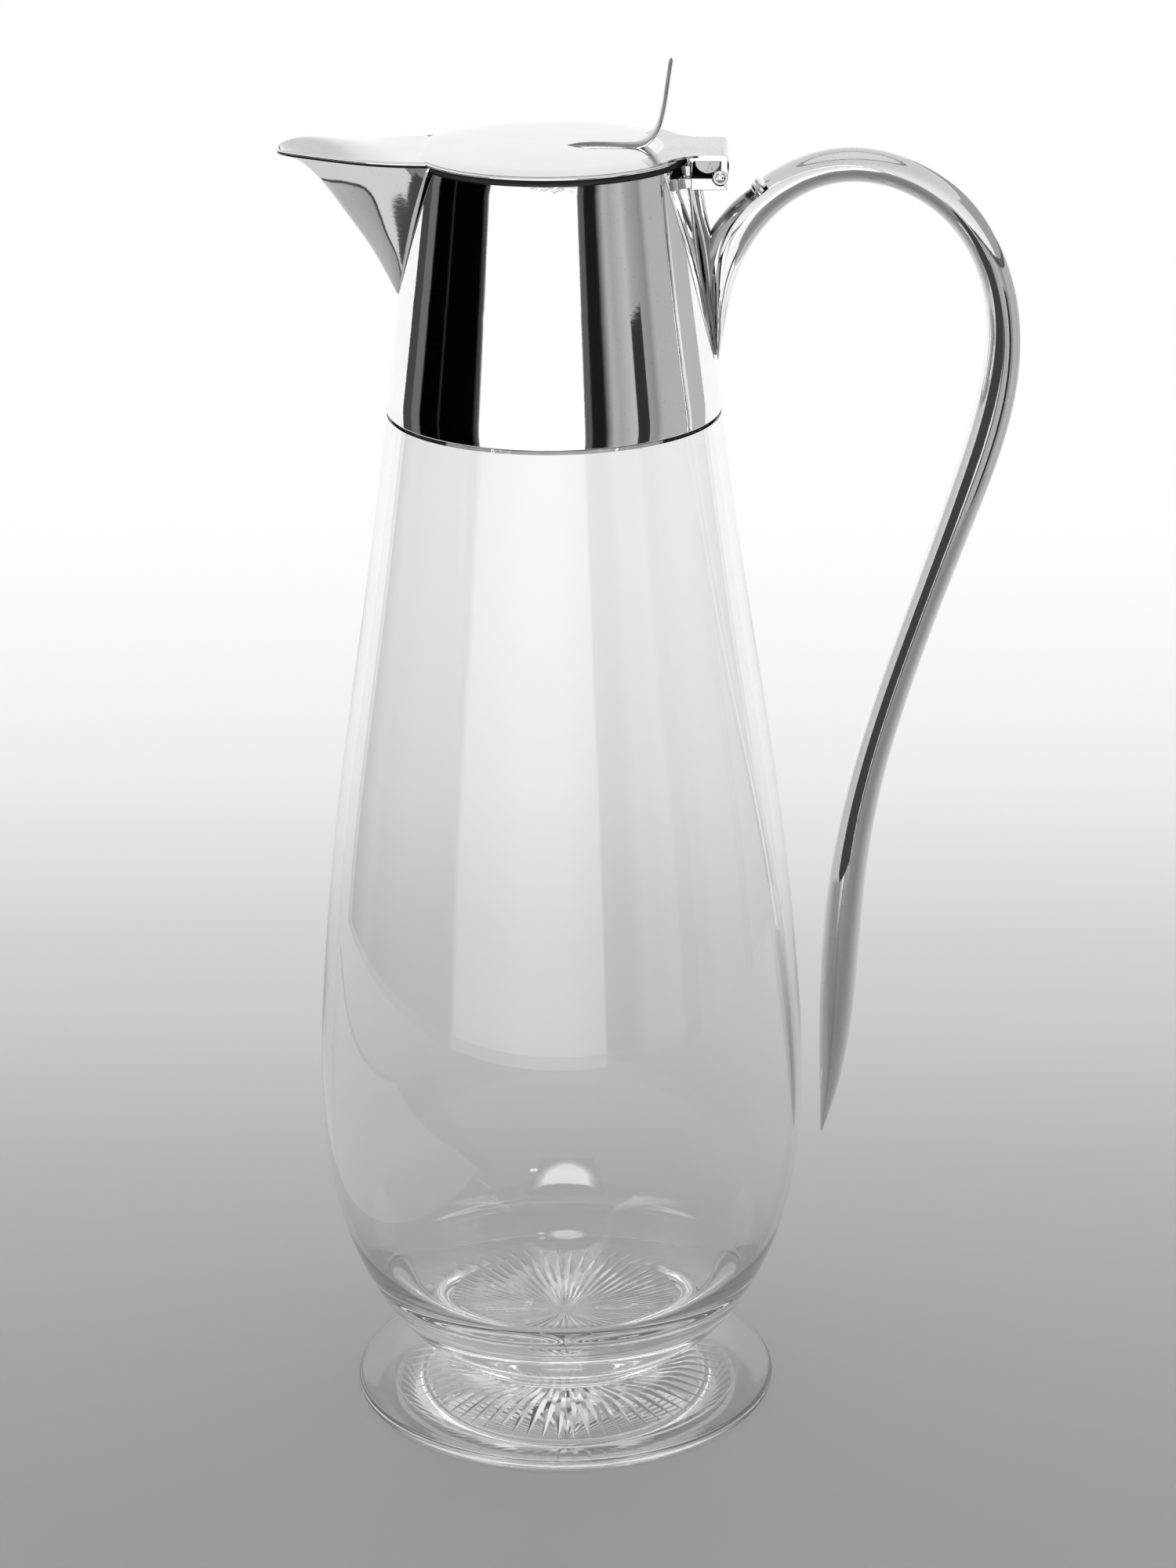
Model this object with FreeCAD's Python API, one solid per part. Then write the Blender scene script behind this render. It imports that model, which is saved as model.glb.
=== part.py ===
"""Glass claret jug with a silver-plated mount: collar, pouring spout, hinged lid and loop handle.

Row frame, in millimetres: the origin is the centre of the foot's resting plane, +Z is up,
+X points to the handle and -X to the spout. The lid turns about a pin that lies along Y.
"""
import FreeCAD, Part
import math
import os

V = FreeCAD.Vector
UP = V(0, 0, 1)
ALONG_Y = V(0, 1, 0)

# ---------------------------------------------------------------- driving dimensions
FOOT_R = 50.0                 # outer radius of the glass foot
FOOT_EDGE = 2.6               # thickness of the foot at its rounded rim
WAIST = (29.0, 10.8)          # radius and height of the narrow stem above the foot
GLASS_WALL = 2.5              # wall of the blown body
BASE_INSIDE_Z = 25.0          # height of the body's inside bottom: the base is thick
SHOULDER = (37.5, 241.0)      # where the body's glass steps in under the collar

COLLAR_BOTTOM = (37.6, 241.7)     # collar's outside radius and height at its lower edge
COLLAR_TOP = (30.2, 298.1)        # the same at its upper edge
SHEET = 0.8                       # plated sheet of the collar and the handle's shells
PLASTER = 0.7                     # bedding between the glass neck and the collar
NECK_TOP_Z = 262.0                # top of the glass neck, hidden in the collar
NECK_ROUND = 1.2                  # height of the rounding on the glass rim

LID_UNDER_Z = 299.25          # underside of the lid plate
LID_PLATE = 0.95              # thickness of the lid plate
LID_LEAF = 0.5                # hinge leaf laid on the back of the lid
LID_R = 30.6
BEAK_ROOT = (-26.4, 15.1)     # where the beak's side leaves the lid's circle
BEAK_NOSE_X = -61.0

TAB_END_X = 38.7              # outer face of the lid's turned-down tab
TAB_HALF = 10.1               # half the hinge's width
PIN = (37.3, 295.8)           # x and z of the hinge pin
PIN_R = 0.95
RUNNING_GAP = 0.05            # radial clearance of the lid's knuckles on the pin
KNUCKLE_R = 1.65
SEAT_R = 1.75                 # hollow of the bracket that the knuckles turn in
CENTRE_HALF = 3.5             # half the width of the fixed middle knuckle
KNUCKLE_GAP = 0.1             # side gap between knuckles

STAR_RAYS = 64                # rays cut under the foot
STAR_R = 38.0
STAR_WIDE_R = 25.0            # radius at which a ray is deepest and widest
STAR_DEPTH = 1.0
FOOT_RECESS = 0.5             # the star's field stands clear of the table
FOOT_RECESS_R = 41.0


# ---------------------------------------------------------------- shared geometry helpers
def collar_r(z):
    """Outside radius of the collar's cone at height z."""
    slope = (COLLAR_TOP[0] - COLLAR_BOTTOM[0]) / (COLLAR_TOP[1] - COLLAR_BOTTOM[1])
    return COLLAR_BOTTOM[0] + slope * (z - COLLAR_BOTTOM[1])


def interpolate(values, t):
    """Linear interpolation in a list of (position, value) pairs."""
    for (t0, v0), (t1, v1) in zip(values, values[1:]):
        if t <= t1:
            return v0 + (v1 - v0) * (t - t0) / (t1 - t0)
    return values[-1][1]


def line(a, b):
    return Part.makeLine(a, b)


def arc(a, b, c):
    return Part.Arc(a, b, c).toShape()


def spline(points, start=None, end=None):
    curve = Part.BSplineCurve()
    if start is None:
        curve.interpolate(Points=points)
    else:
        curve.interpolate(Points=points, InitialTangent=start, FinalTangent=end)
    return curve.toShape()


def rz(r, z):
    """A point of a turned profile, in the XZ plane."""
    return V(r, 0, z)


def turned(edges):
    """Solid of revolution about Z from a closed chain of edges in the XZ plane."""
    face = Part.Face(Part.Wire(edges))
    return face.revolve(V(0, 0, 0), UP, 360)


def polygon(points):
    return Part.makePolygon(list(points) + [points[0]])


def turned_polygon(pairs):
    points = [rz(r, z) for r, z in pairs]
    return Part.Face(polygon(points)).revolve(V(0, 0, 0), UP, 360)


def plate_xz(pairs, y0, y1):
    """Prism across the object: an XZ outline carried from y0 to y1."""
    face = Part.Face(polygon([V(x, y0, z) for x, z in pairs]))
    return face.extrude(V(0, y1 - y0, 0))


def bar_y(centre, radius, y0, y1):
    """Round bar along Y through an (x, z) centre."""
    return Part.makeCylinder(radius, y1 - y0, V(centre[0], y0, centre[1]), ALONG_Y)


def box(x0, x1, y0, y1, z0, z1):
    return Part.makeBox(x1 - x0, y1 - y0, z1 - z0, V(x0, y0, z0))


def cone_core(inset=0.0):
    """Solid cone that fills the collar out to its outside surface, less an inset."""
    low = 230.0
    high = 310.0
    return Part.makeCone(collar_r(low) - inset, collar_r(high) - inset, high - low, V(0, 0, low))


# ---------------------------------------------------------------- glass
def star_field():
    """What is removed under the foot: a shallow recess whose roof carries the star of V cuts."""
    roof_z = FOOT_RECESS
    half_width = math.pi * STAR_WIDE_R / STAR_RAYS * 0.97
    kite = [V(2.0, 0, roof_z), V(STAR_WIDE_R, half_width, roof_z),
            V(STAR_R, 0, roof_z), V(STAR_WIDE_R, -half_width, roof_z)]
    apex = V(STAR_WIDE_R, 0, roof_z + STAR_DEPTH)
    under_z = -1.0
    rim = Part.Wire(Part.makeCircle(FOOT_RECESS_R, V(0, 0, roof_z), UP))
    floor_rim = Part.Wire(Part.makeCircle(FOOT_RECESS_R, V(0, 0, under_z), UP))
    holes = []
    faces = []
    for i in range(STAR_RAYS):
        turn = FreeCAD.Rotation(UP, 360.0 * i / STAR_RAYS)
        corners = [turn.multVec(corner) for corner in kite]
        peak = turn.multVec(apex)
        holes.append(polygon(corners))
        for j in range(4):
            faces.append(Part.Face(polygon([corners[j], corners[(j + 1) % 4], peak])))
    faces.append(Part.makeFace([rim] + holes, "Part::FaceMakerBullseye"))
    faces.append(Part.Face(floor_rim))
    faces.append(Part.makeCylinder(FOOT_RECESS_R, roof_z - under_z, V(0, 0, under_z)).Faces[0])
    shell = Part.makeShell(faces)
    shell.sewShape()
    return Part.makeSolid(shell)


def make_glass_vessel():
    """Body, thick base and foot: one piece of glass, with the star cut underneath."""
    neck_out = SHEET + PLASTER
    step_z = SHOULDER[1] + 0.5
    round_z = NECK_TOP_Z - NECK_ROUND
    neck_low = (collar_r(step_z) - neck_out, step_z)
    neck_high = (collar_r(NECK_TOP_Z) - neck_out, round_z)
    rim_in = (neck_high[0] - GLASS_WALL, round_z)
    foot_flat_r = FOOT_R - 1.4
    foot_top = [rz(foot_flat_r, FOOT_EDGE), rz(40.0, 4.4), rz(33.0, 7.0), rz(*WAIST)]
    body = [rz(*WAIST), rz(31.9, 14.0), rz(36.6, 17.4), rz(45.8, 29.0), rz(52.8, 46.0), rz(56.7, 78.0),
            rz(55.2, 109.0), rz(50.1, 155.0), rz(45.5, 185.0), rz(41.3, 213.0), rz(*SHOULDER)]
    inside = [rz(*rim_in), rz(34.9, 238.0), rz(43.0, 185.0), rz(47.6, 155.0), rz(52.7, 109.0),
              rz(54.2, 78.0), rz(50.6, 48.0), rz(43.8, 33.2), rz(35.0, 27.2), rz(20.0, 25.3),
              rz(0, BASE_INSIDE_Z)]
    edges = [
        line(rz(0, 0), rz(foot_flat_r, 0)),
        arc(rz(foot_flat_r, 0), rz(FOOT_R, FOOT_EDGE / 2), rz(foot_flat_r, FOOT_EDGE)),
        spline(foot_top, start=V(-1, 0, 0.12), end=V(-0.25, 0, 1)),
        spline(body),
        line(rz(*SHOULDER), rz(*neck_low)),
        line(rz(*neck_low), rz(*neck_high)),
        arc(rz(*neck_high), rz((neck_high[0] + rim_in[0]) / 2, NECK_TOP_Z), rz(*rim_in)),
        spline(inside, start=V(0.13, 0, -1), end=V(-1, 0, 0)),
        line(rz(0, BASE_INSIDE_Z), rz(0, 0)),
    ]
    return turned(edges).cut(star_field())


# ---------------------------------------------------------------- collar and what seals it
def make_neck_plaster():
    """Plaster bedding that holds the collar on the glass neck."""
    skin = 0.02
    low = SHOULDER[1] + 1.0
    high = NECK_TOP_Z - NECK_ROUND - 0.2
    outer = SHEET + skin
    inner = SHEET + PLASTER - skin
    return turned_polygon([(collar_r(low) - outer, low), (collar_r(high) - outer, high),
                           (collar_r(high) - inner, high), (collar_r(low) - inner, low)])


def make_mouth_liner():
    """Ring over the glass rim: it keeps the drink away from the plaster."""
    flange_z = NECK_TOP_Z + 0.05
    flange = 0.7
    glass_in = collar_r(NECK_TOP_Z) - SHEET - PLASTER - GLASS_WALL
    sleeve_out = glass_in - 0.2
    sleeve_in = sleeve_out - 0.6
    skirt_z = NECK_TOP_Z - 7.0
    wall = collar_r(flange_z) - SHEET - 0.02
    return turned_polygon([(sleeve_in, skirt_z), (sleeve_out, skirt_z), (sleeve_out, flange_z),
                           (wall, flange_z), (wall - 0.1, flange_z + flange),
                           (sleeve_in, flange_z + flange)])


def make_collar():
    """Conical sheet collar, open where the spout joins it."""
    low = COLLAR_BOTTOM[1]
    high = COLLAR_TOP[1]
    cone = turned_polygon([(collar_r(low), low), (collar_r(high), high),
                           (collar_r(high) - SHEET, high), (collar_r(low) - SHEET, low)])
    return cone.cut(spout_form(SHEET))


def make_rim_wire():
    """Round wire soldered on the collar's upper edge; it stops at the spout."""
    wire_r = 0.55
    ring_r = COLLAR_TOP[0] - SHEET / 2
    ring = Part.makeTorus(ring_r, wire_r, V(0, 0, COLLAR_TOP[1] + wire_r), UP)
    half_gap = BEAK_ROOT[1] - 0.2
    return ring.cut(box(-LID_R, 0, -half_gap, half_gap, COLLAR_TOP[1] - wire_r, LID_UNDER_Z + wire_r))


# ---------------------------------------------------------------- spout
SPOUT_TOP_Z = LID_UNDER_Z - 0.05
SPOUT_FOOT_Z = 267.4                                             # lowest point of the V on the collar
KEEL = [(267.4, -34.5), (272.0, -36.8), (278.0, -40.1), (284.0, -44.2), (290.0, -48.5),
        (295.0, -52.6), (298.0, -56.6), (SPOUT_TOP_Z, -60.2)]    # height, x of the spout's keel


def spout_section(z, inset):
    """Level slice of the spout: two bowed walls that meet at the keel."""
    share = (z - SPOUT_FOOT_Z) / (SPOUT_TOP_Z - SPOUT_FOOT_Z)
    half = 0.3 + (BEAK_ROOT[1] - 0.5) * share ** 0.9 - inset * min(1.0, 3 * share)
    half = max(half, 0.12)
    tip_x = interpolate(KEEL, z) + inset * 1.5
    root_x = -math.sqrt(collar_r(z) ** 2 - half ** 2)
    chord = V(tip_x - root_x, -half, 0)
    bow = 0.10 * half / BEAK_ROOT[1] * chord.Length
    middle = V((root_x + tip_x) / 2, half / 2, 0) + V(half, tip_x - root_x, 0).normalize() * -bow
    back_x = -20.0
    left = V(root_x, half, z)
    right = V(root_x, -half, z)
    tip = V(tip_x, 0, z)
    return Part.Wire([
        line(V(back_x, half, z), left),
        arc(left, V(middle.x, abs(middle.y), z), tip),
        arc(tip, V(middle.x, -abs(middle.y), z), right),
        line(right, V(back_x, -half, z)),
        line(V(back_x, -half, z), V(back_x, half, z)),
    ])


def spout_form(inset):
    """Solid form of the spout out to its surface, less an inset all round."""
    lift = inset * 3.0
    heights = [SPOUT_FOOT_Z + lift, 273.0 + lift / 2, 280.0, 287.0, 293.0, 297.0, SPOUT_TOP_Z]
    form = Part.makeLoft([spout_section(z, inset) for z in heights], True, False)
    if inset > 0:
        mouth = Part.Face(spout_section(SPOUT_TOP_Z, inset)).extrude(V(0, 0, 3))
        form = form.fuse(mouth)
    return form


def make_spout():
    """V-shaped sheet spout soldered over the collar's opening."""
    return spout_form(0.0).cut(spout_form(SHEET)).cut(cone_core())


# ---------------------------------------------------------------- lid
BEAK_SECTIONS = [(-20.0, 0.0), (-30.0, 0.05), (-38.0, 0.9), (-46.0, 2.2), (-53.0, 2.9),
                 (-58.0, 2.0), (-60.6, 0.5)]                     # x, height of the crest over the edge


def beak_half(x):
    """Half-width of the beak: a circular arc from its root to its nose."""
    a = V(BEAK_ROOT[0], BEAK_ROOT[1], 0)
    b = V(-43.5, 11.5, 0)
    c = V(BEAK_NOSE_X, 0.4, 0)
    circle = arc(a, b, c).Curve
    if x > BEAK_ROOT[0]:
        return BEAK_ROOT[1]
    return circle.Center.y + math.sqrt(max(circle.Radius ** 2 - (x - circle.Center.x) ** 2, 0))


def beak_section(x, crest):
    half = beak_half(x)
    low = LID_UNDER_Z
    high = LID_UNDER_Z + LID_PLATE
    return Part.Wire([
        line(V(x, -half, low), V(x, half, low)),
        line(V(x, half, low), V(x, half, high)),
        arc(V(x, half, high), V(x, 0, high + max(crest, 0.02)), V(x, -half, high)),
        line(V(x, -half, high), V(x, -half, low)),
    ])


def make_lid_plate():
    """Flat lid with the arched beak that covers the spout."""
    low = LID_UNDER_Z
    high = LID_UNDER_Z + LID_PLATE
    edge_r = LID_PLATE / 2
    disc = turned([
        line(rz(0, low), rz(LID_R - edge_r, low)),
        arc(rz(LID_R - edge_r, low), rz(LID_R, low + edge_r), rz(LID_R - edge_r, high)),
        line(rz(LID_R - edge_r, high), rz(0, high)),
        line(rz(0, high), rz(0, low)),
    ])
    beak = Part.makeLoft([beak_section(x, crest) for x, crest in BEAK_SECTIONS], True, False)
    return disc.fuse(beak)


def make_lid_bezel():
    """Ring under the lid that centres it in the collar's mouth."""
    clearance = 1.2
    outer = COLLAR_TOP[0] - SHEET - clearance
    inner = outer - SHEET
    low = LID_UNDER_Z - 2.85
    return turned_polygon([(inner, low), (outer, low), (outer, LID_UNDER_Z), (inner, LID_UNDER_Z)])


# x, half-width of the hinge leaf from its point to the lid's edge
LEAF_FLARE = [(2.6, 0.25), (8.0, 1.6), (13.5, 3.2), (17.0, 7.4), (20.2, 14.6), (22.8, 20.0)]


def leaf_outline(z):
    """Plan of the hinge leaf: a spear point that flares to the lid's edge, then the tab."""
    edges = []
    for side in (1, -1):
        flare = [V(x, side * y, z) for x, y in LEAF_FLARE]
        edge_mid = V(25.2, side * 17.0, z)
        neck_start = V(27.2, side * 13.7, z)
        neck_mid = V(29.9, side * 11.2, z)
        tab_start = V(34.0, side * TAB_HALF, z)
        tab_corner = V(TAB_END_X - 1.1, side * TAB_HALF, z)
        edges.append(spline(flare))
        edges.append(arc(flare[-1], edge_mid, neck_start))
        edges.append(arc(neck_start, neck_mid, tab_start))
        edges.append(line(tab_start, tab_corner))
    point_x, point_half = LEAF_FLARE[0]
    edges.append(line(V(point_x, point_half, z), V(point_x, -point_half, z)))
    end_x = TAB_END_X - 1.1
    edges.append(line(V(end_x, TAB_HALF, z), V(end_x, -TAB_HALF, z)))
    return Part.Wire(Part.__sortEdges__(edges))


def make_lid_leaf():
    """Leaf soldered on the lid's back; its tab runs out over the hinge and turns down."""
    base_z = LID_UNDER_Z + LID_PLATE
    top_z = base_z + LID_LEAF
    leaf = Part.Face(leaf_outline(base_z)).extrude(V(0, 0, LID_LEAF))
    tab = 1.2
    under_z = top_z - tab
    root_x = LID_R + 0.15
    bend_x = TAB_END_X - tab
    slab = box(root_x, bend_x, -TAB_HALF, TAB_HALF, under_z, top_z)
    corner = V(bend_x, -TAB_HALF, top_z - tab)
    bend = Part.makeCylinder(tab, 2 * TAB_HALF, corner, ALONG_Y).common(
        box(bend_x, TAB_END_X, -TAB_HALF, TAB_HALF, corner.z, top_z))
    lip = box(bend_x, TAB_END_X, -TAB_HALF, TAB_HALF, PIN[1] + 0.6, corner.z)
    lip = lip.cut(bar_y(PIN, KNUCKLE_R, -TAB_HALF, TAB_HALF))
    gap = CENTRE_HALF + KNUCKLE_GAP
    room = bar_y(PIN, SEAT_R + 0.15, -gap, gap)
    return leaf.fuse([slab, bend, lip]).cut(room).removeSplitter()


def make_lid_lugs():
    """Two half-round cheeks under the tab's sides."""
    thick = 1.5
    lug_r = 2.8
    centre = (34.55, LID_UNDER_Z + LID_PLATE + LID_LEAF - 1.2)
    lugs = []
    for y0 in (-TAB_HALF, TAB_HALF - thick):
        disc = bar_y(centre, lug_r, y0, y0 + thick)
        over = box(centre[0] - lug_r, centre[0] + lug_r, y0, y0 + thick, centre[1], centre[1] + lug_r)
        lugs.append(disc.cut(over))
    return Part.makeCompound(lugs)


def make_lid_knuckles():
    """The lid's two outer knuckles, which turn on the pin."""
    near = CENTRE_HALF + KNUCKLE_GAP
    barrels = []
    for y0, y1 in ((-TAB_HALF, -near), (near, TAB_HALF)):
        barrel = bar_y(PIN, KNUCKLE_R, y0, y1)
        barrels.append(barrel.cut(bar_y(PIN, PIN_R + RUNNING_GAP, y0 - 1, y1 + 1)))
    return Part.makeCompound(barrels)


# x, z along the front of the thumb piece's blade, from the leaf to its tip
THUMB_CURVE = [(17.0, 300.9), (20.6, 301.8), (23.0, 304.3), (24.5, 308.5), (25.5, 314.5), (26.4, 320.3)]
THUMB_THICK = 0.85
THUMB_HALF = 4.2                  # half-width of the blade at its root
THUMB_TAPER_Z = 303.0             # the blade narrows from here
THUMB_TIP_HALF = 3.0
THUMB_ROUND_Z = 316.5             # its rounded end starts here


def make_thumb_piece():
    """Thumb piece: a ridge along the leaf that turns up into a thin curved blade."""
    seat_z = LID_UNDER_Z + LID_PLATE + LID_LEAF
    ridge_top = seat_z + 0.75
    ridge_sections = []
    for x, half, top in ((3.4, 0.25, seat_z + 0.15), (7.5, 1.0, ridge_top), (13.0, 1.5, ridge_top),
                         (19.0, 2.6, ridge_top)):
        ridge_sections.append(polygon([V(x, -half, seat_z), V(x, 0, top), V(x, half, seat_z)]))
    ridge = Part.makeLoft(ridge_sections, True, True)
    front = [V(x, 0, z) for x, z in THUMB_CURVE]
    back = []
    for i, point in enumerate(front):
        before = front[max(i - 1, 0)]
        after = front[min(i + 1, len(front) - 1)]
        run = (after - before).normalize()
        back.append(point + V(run.z, 0, -run.x) * THUMB_THICK)
    back[0].z = max(back[0].z, seat_z)
    edges = [spline(front), line(front[-1], back[-1]), spline(list(reversed(back))), line(back[0], front[0])]
    blade = Part.Face(Part.Wire(edges))
    blade.translate(V(0, -THUMB_HALF, 0))
    blade = blade.extrude(V(0, 2 * THUMB_HALF, 0))
    seat_left = V(0, -THUMB_HALF, seat_z)
    seat_right = V(0, THUMB_HALF, seat_z)
    root_left = V(0, -THUMB_HALF, THUMB_TAPER_Z)
    root_right = V(0, THUMB_HALF, THUMB_TAPER_Z)
    tip_left = V(0, -THUMB_TIP_HALF, THUMB_ROUND_Z)
    tip_right = V(0, THUMB_TIP_HALF, THUMB_ROUND_Z)
    front_view = [line(seat_left, seat_right), line(seat_right, root_right), line(root_right, tip_right),
                  arc(tip_right, V(0, 0, THUMB_CURVE[-1][1]), tip_left), line(tip_left, root_left),
                  line(root_left, seat_left)]
    strap = Part.Face(Part.Wire(front_view)).extrude(V(TAB_END_X, 0, 0))
    return blade.common(strap).fuse(ridge).removeSplitter()


# ---------------------------------------------------------------- fixed half of the hinge
BRACKET_LOW_Z = 293.1
BRACKET_TOP_Z = 295.7
BRACKET_X = (31.0, 38.7)


def make_hinge_bracket():
    """Bar behind the collar, hollowed along its edge to seat the knuckles."""
    shelf_z = BRACKET_LOW_Z + 0.5      # low enough for the tab's lip to swing past
    outline = [(BRACKET_X[0], BRACKET_LOW_Z), (BRACKET_X[1], BRACKET_LOW_Z),
               (BRACKET_X[1], shelf_z), (PIN[0], BRACKET_TOP_Z - 0.6), (35.4, BRACKET_TOP_Z),
               (BRACKET_X[0], BRACKET_TOP_Z)]
    bar = plate_xz(outline, -TAB_HALF, TAB_HALF)
    return bar.cut(bar_y(PIN, SEAT_R, -TAB_HALF - 1, TAB_HALF + 1)).removeSplitter()


def make_bracket_knuckle():
    """Fixed middle knuckle, which grips the pin."""
    barrel = bar_y(PIN, SEAT_R, -CENTRE_HALF, CENTRE_HALF)
    return barrel.cut(bar_y(PIN, PIN_R, -CENTRE_HALF - 1, CENTRE_HALF + 1))


def make_hinge_pin():
    """Pin with low domed ends."""
    reach = TAB_HALF + 0.25
    pin = bar_y(PIN, PIN_R, -reach, reach)
    domes = []
    for side in (-1, 1):
        ball_r = 1.6
        depth = ball_r - math.sqrt(ball_r ** 2 - PIN_R ** 2)
        centre = V(PIN[0], side * (reach - ball_r + depth), PIN[1])
        ball = Part.makeSphere(ball_r, centre)
        y0 = min(side * reach, side * (reach + 2))
        domes.append(ball.common(box(PIN[0] - 3, PIN[0] + 3, y0, y0 + 2, PIN[1] - 3, PIN[1] + 3)))
    return pin.fuse(domes).removeSplitter()


def make_hinge_block():
    """Stepped block that joins the bracket to the back of the collar."""
    inside_x = 20.0
    step_z = BRACKET_TOP_Z - 0.3
    lower = box(inside_x, BRACKET_X[0], -8.6, 8.6, BRACKET_LOW_Z, step_z)
    upper = box(inside_x, BRACKET_X[0] - 0.25, -7.0, 7.0, step_z, COLLAR_TOP[1] - 0.2)
    return lower.fuse(upper).cut(cone_core()).removeSplitter()


# ---------------------------------------------------------------- handle
# x, z of the centre line, thickness in the handle's plane, width across it
HANDLE = [
    (61.35, 65.0, 0.5, 0.6), (62.9, 76.0, 4.1, 4.0), (63.9, 87.2, 6.6, 6.6), (64.6, 98.5, 8.0, 8.2),
    (65.3, 111.0, 8.6, 9.0), (67.2, 133.3, 8.4, 9.0), (71.4, 156.1, 7.7, 8.6),
    (77.7, 178.3, 7.4, 8.4), (84.9, 200.0, 7.5, 8.6), (92.3, 221.5, 8.3, 9.2),
    (98.4, 242.9, 8.7, 9.6), (99.5, 264.5, 7.6, 9.4), (91.9, 283.5, 7.1, 9.2),
    (75.3, 295.2, 7.4, 9.2), (62.0, 296.3, 7.7, 9.4), (50.6, 291.8, 8.2, 9.6),
    (40.6, 281.2, 8.6, 9.6), (37.5, 270.5, 5.8, 8.6), (36.95, 263.2, 3.7, 6.4),
    (36.75, 257.8, 2.2, 4.0), (36.6, 252.8, 0.5, 0.8),
]
NOTCH = (46.3, 289.3)             # the outer shell ends here
NOTCH_RUN = V(0.72, 0, 0.69)      # direction of the handle at the notch
# share of the thickness, from the middle outwards, at which the two shells meet
SEAM = [(0, 0.0), (13, 0.0), (15, 0.45), (17, 0.5), (20, 0.2)]


def handle_frames():
    """Centre, run and outward normal at each station of the handle."""
    path = Part.BSplineCurve()
    path.interpolate(Points=[V(x, 0, z) for x, z, _, _ in HANDLE])
    frames = []
    for x, z, thick, width in HANDLE:
        centre = V(x, 0, z)
        run = path.tangent(path.parameter(centre))[0]
        outward = V(run.z, 0, -run.x)
        frames.append((centre, run, outward, thick, width))
    return frames


def ellipse_wire(centre, outward, half_thick, half_width):
    """Ellipse across the handle, started on its outer side so that lofts line up."""
    count = 8
    points = []
    for i in range(count):
        angle = 2 * math.pi * i / count
        points.append(centre + outward * (half_thick * math.cos(angle))
                      + ALONG_Y * (half_width * math.sin(angle)))
    curve = Part.BSplineCurve()
    curve.interpolate(Points=points, PeriodicFlag=True)
    return Part.Wire(curve.toShape())


def handle_form(inset):
    """Solid form of the handle, less an inset; thin ends are left out of an inset form."""
    wires = []
    for centre, _, outward, thick, width in handle_frames():
        if min(thick, width) / 2 - inset > 0.2:
            wires.append(ellipse_wire(centre, outward, thick / 2 - inset, width / 2 - inset))
    return Part.makeLoft(wires, True, False)


def outer_side():
    """Everything on the outer side of the seam between the handle's two shells."""
    points = []
    for i, (centre, _, outward, thick, _) in enumerate(handle_frames()):
        points.append(centre + outward * (interpolate(SEAM, i) * thick / 2))
    depth = 12.0
    low_z, tip_z, high_z = 50.0, 240.0, 340.0
    near_x, far_x = 15.0, 140.0
    tail = points[0]
    leaf = points[-1]
    around = [leaf, V(leaf.x, 0, tip_z), V(near_x, 0, tip_z), V(near_x, 0, high_z), V(far_x, 0, high_z),
              V(far_x, 0, low_z), V(tail.x, 0, low_z), tail]
    edges = [spline(points)] + [line(a, b) for a, b in zip(around, around[1:])]
    face = Part.Face(Part.Wire(edges))
    face.translate(V(0, -depth, 0))
    return face.extrude(V(0, 2 * depth, 0))


def notch_side(shift):
    """Block that covers the handle between the notch and the collar."""
    origin = V(NOTCH[0], 0, NOTCH[1]) + NOTCH_RUN * shift
    length, width, height = 40.0, 24.0, 44.0
    block = Part.makeBox(length, width, height, V(-length, -width / 2, -height / 2))
    turn = FreeCAD.Rotation(V(1, 0, 0), NOTCH_RUN)
    block.Placement = FreeCAD.Placement(origin, turn, V(0, 0, 0)).multiply(block.Placement)
    return block


def make_handle_parts():
    """Two half-shells soldered along the seam, the cap at the notch and the tongue below it."""
    solid = handle_form(0.0)
    hollow = handle_form(SHEET)
    outside = outer_side()
    tube = solid.cut(hollow).cut(cone_core())
    cap_length = 1.7
    outer_shell = tube.common(outside).cut(notch_side(cap_length))
    inner_shell = tube.cut(outside)
    slab = notch_side(cap_length).cut(notch_side(0.0))
    cap = solid.common(outside).common(slab)
    clearance = 0.03
    tongue = handle_form(SHEET + clearance).common(notch_side(-clearance)).cut(cone_core())
    return outer_shell, inner_shell, cap, tongue


def make_hinge_strap(handle):
    """Strap that runs from under the bracket down the collar to the handle's crotch."""
    outline = [(25.0, BRACKET_LOW_Z), (32.8, BRACKET_LOW_Z), (32.9, 288.5), (33.3, 285.0),
               (34.2, 281.6), (35.0, 279.0), (36.0, 268.0), (25.0, 268.0)]
    half = 3.8
    strap = plate_xz(outline, -half, half)
    return strap.cut(cone_core()).cut(handle)


# ---------------------------------------------------------------- write one STEP per piece
def largest_solid(shape):
    """The main solid of a boolean result, without slivers."""
    return max(shape.Solids, key=lambda solid: solid.Volume)


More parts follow.
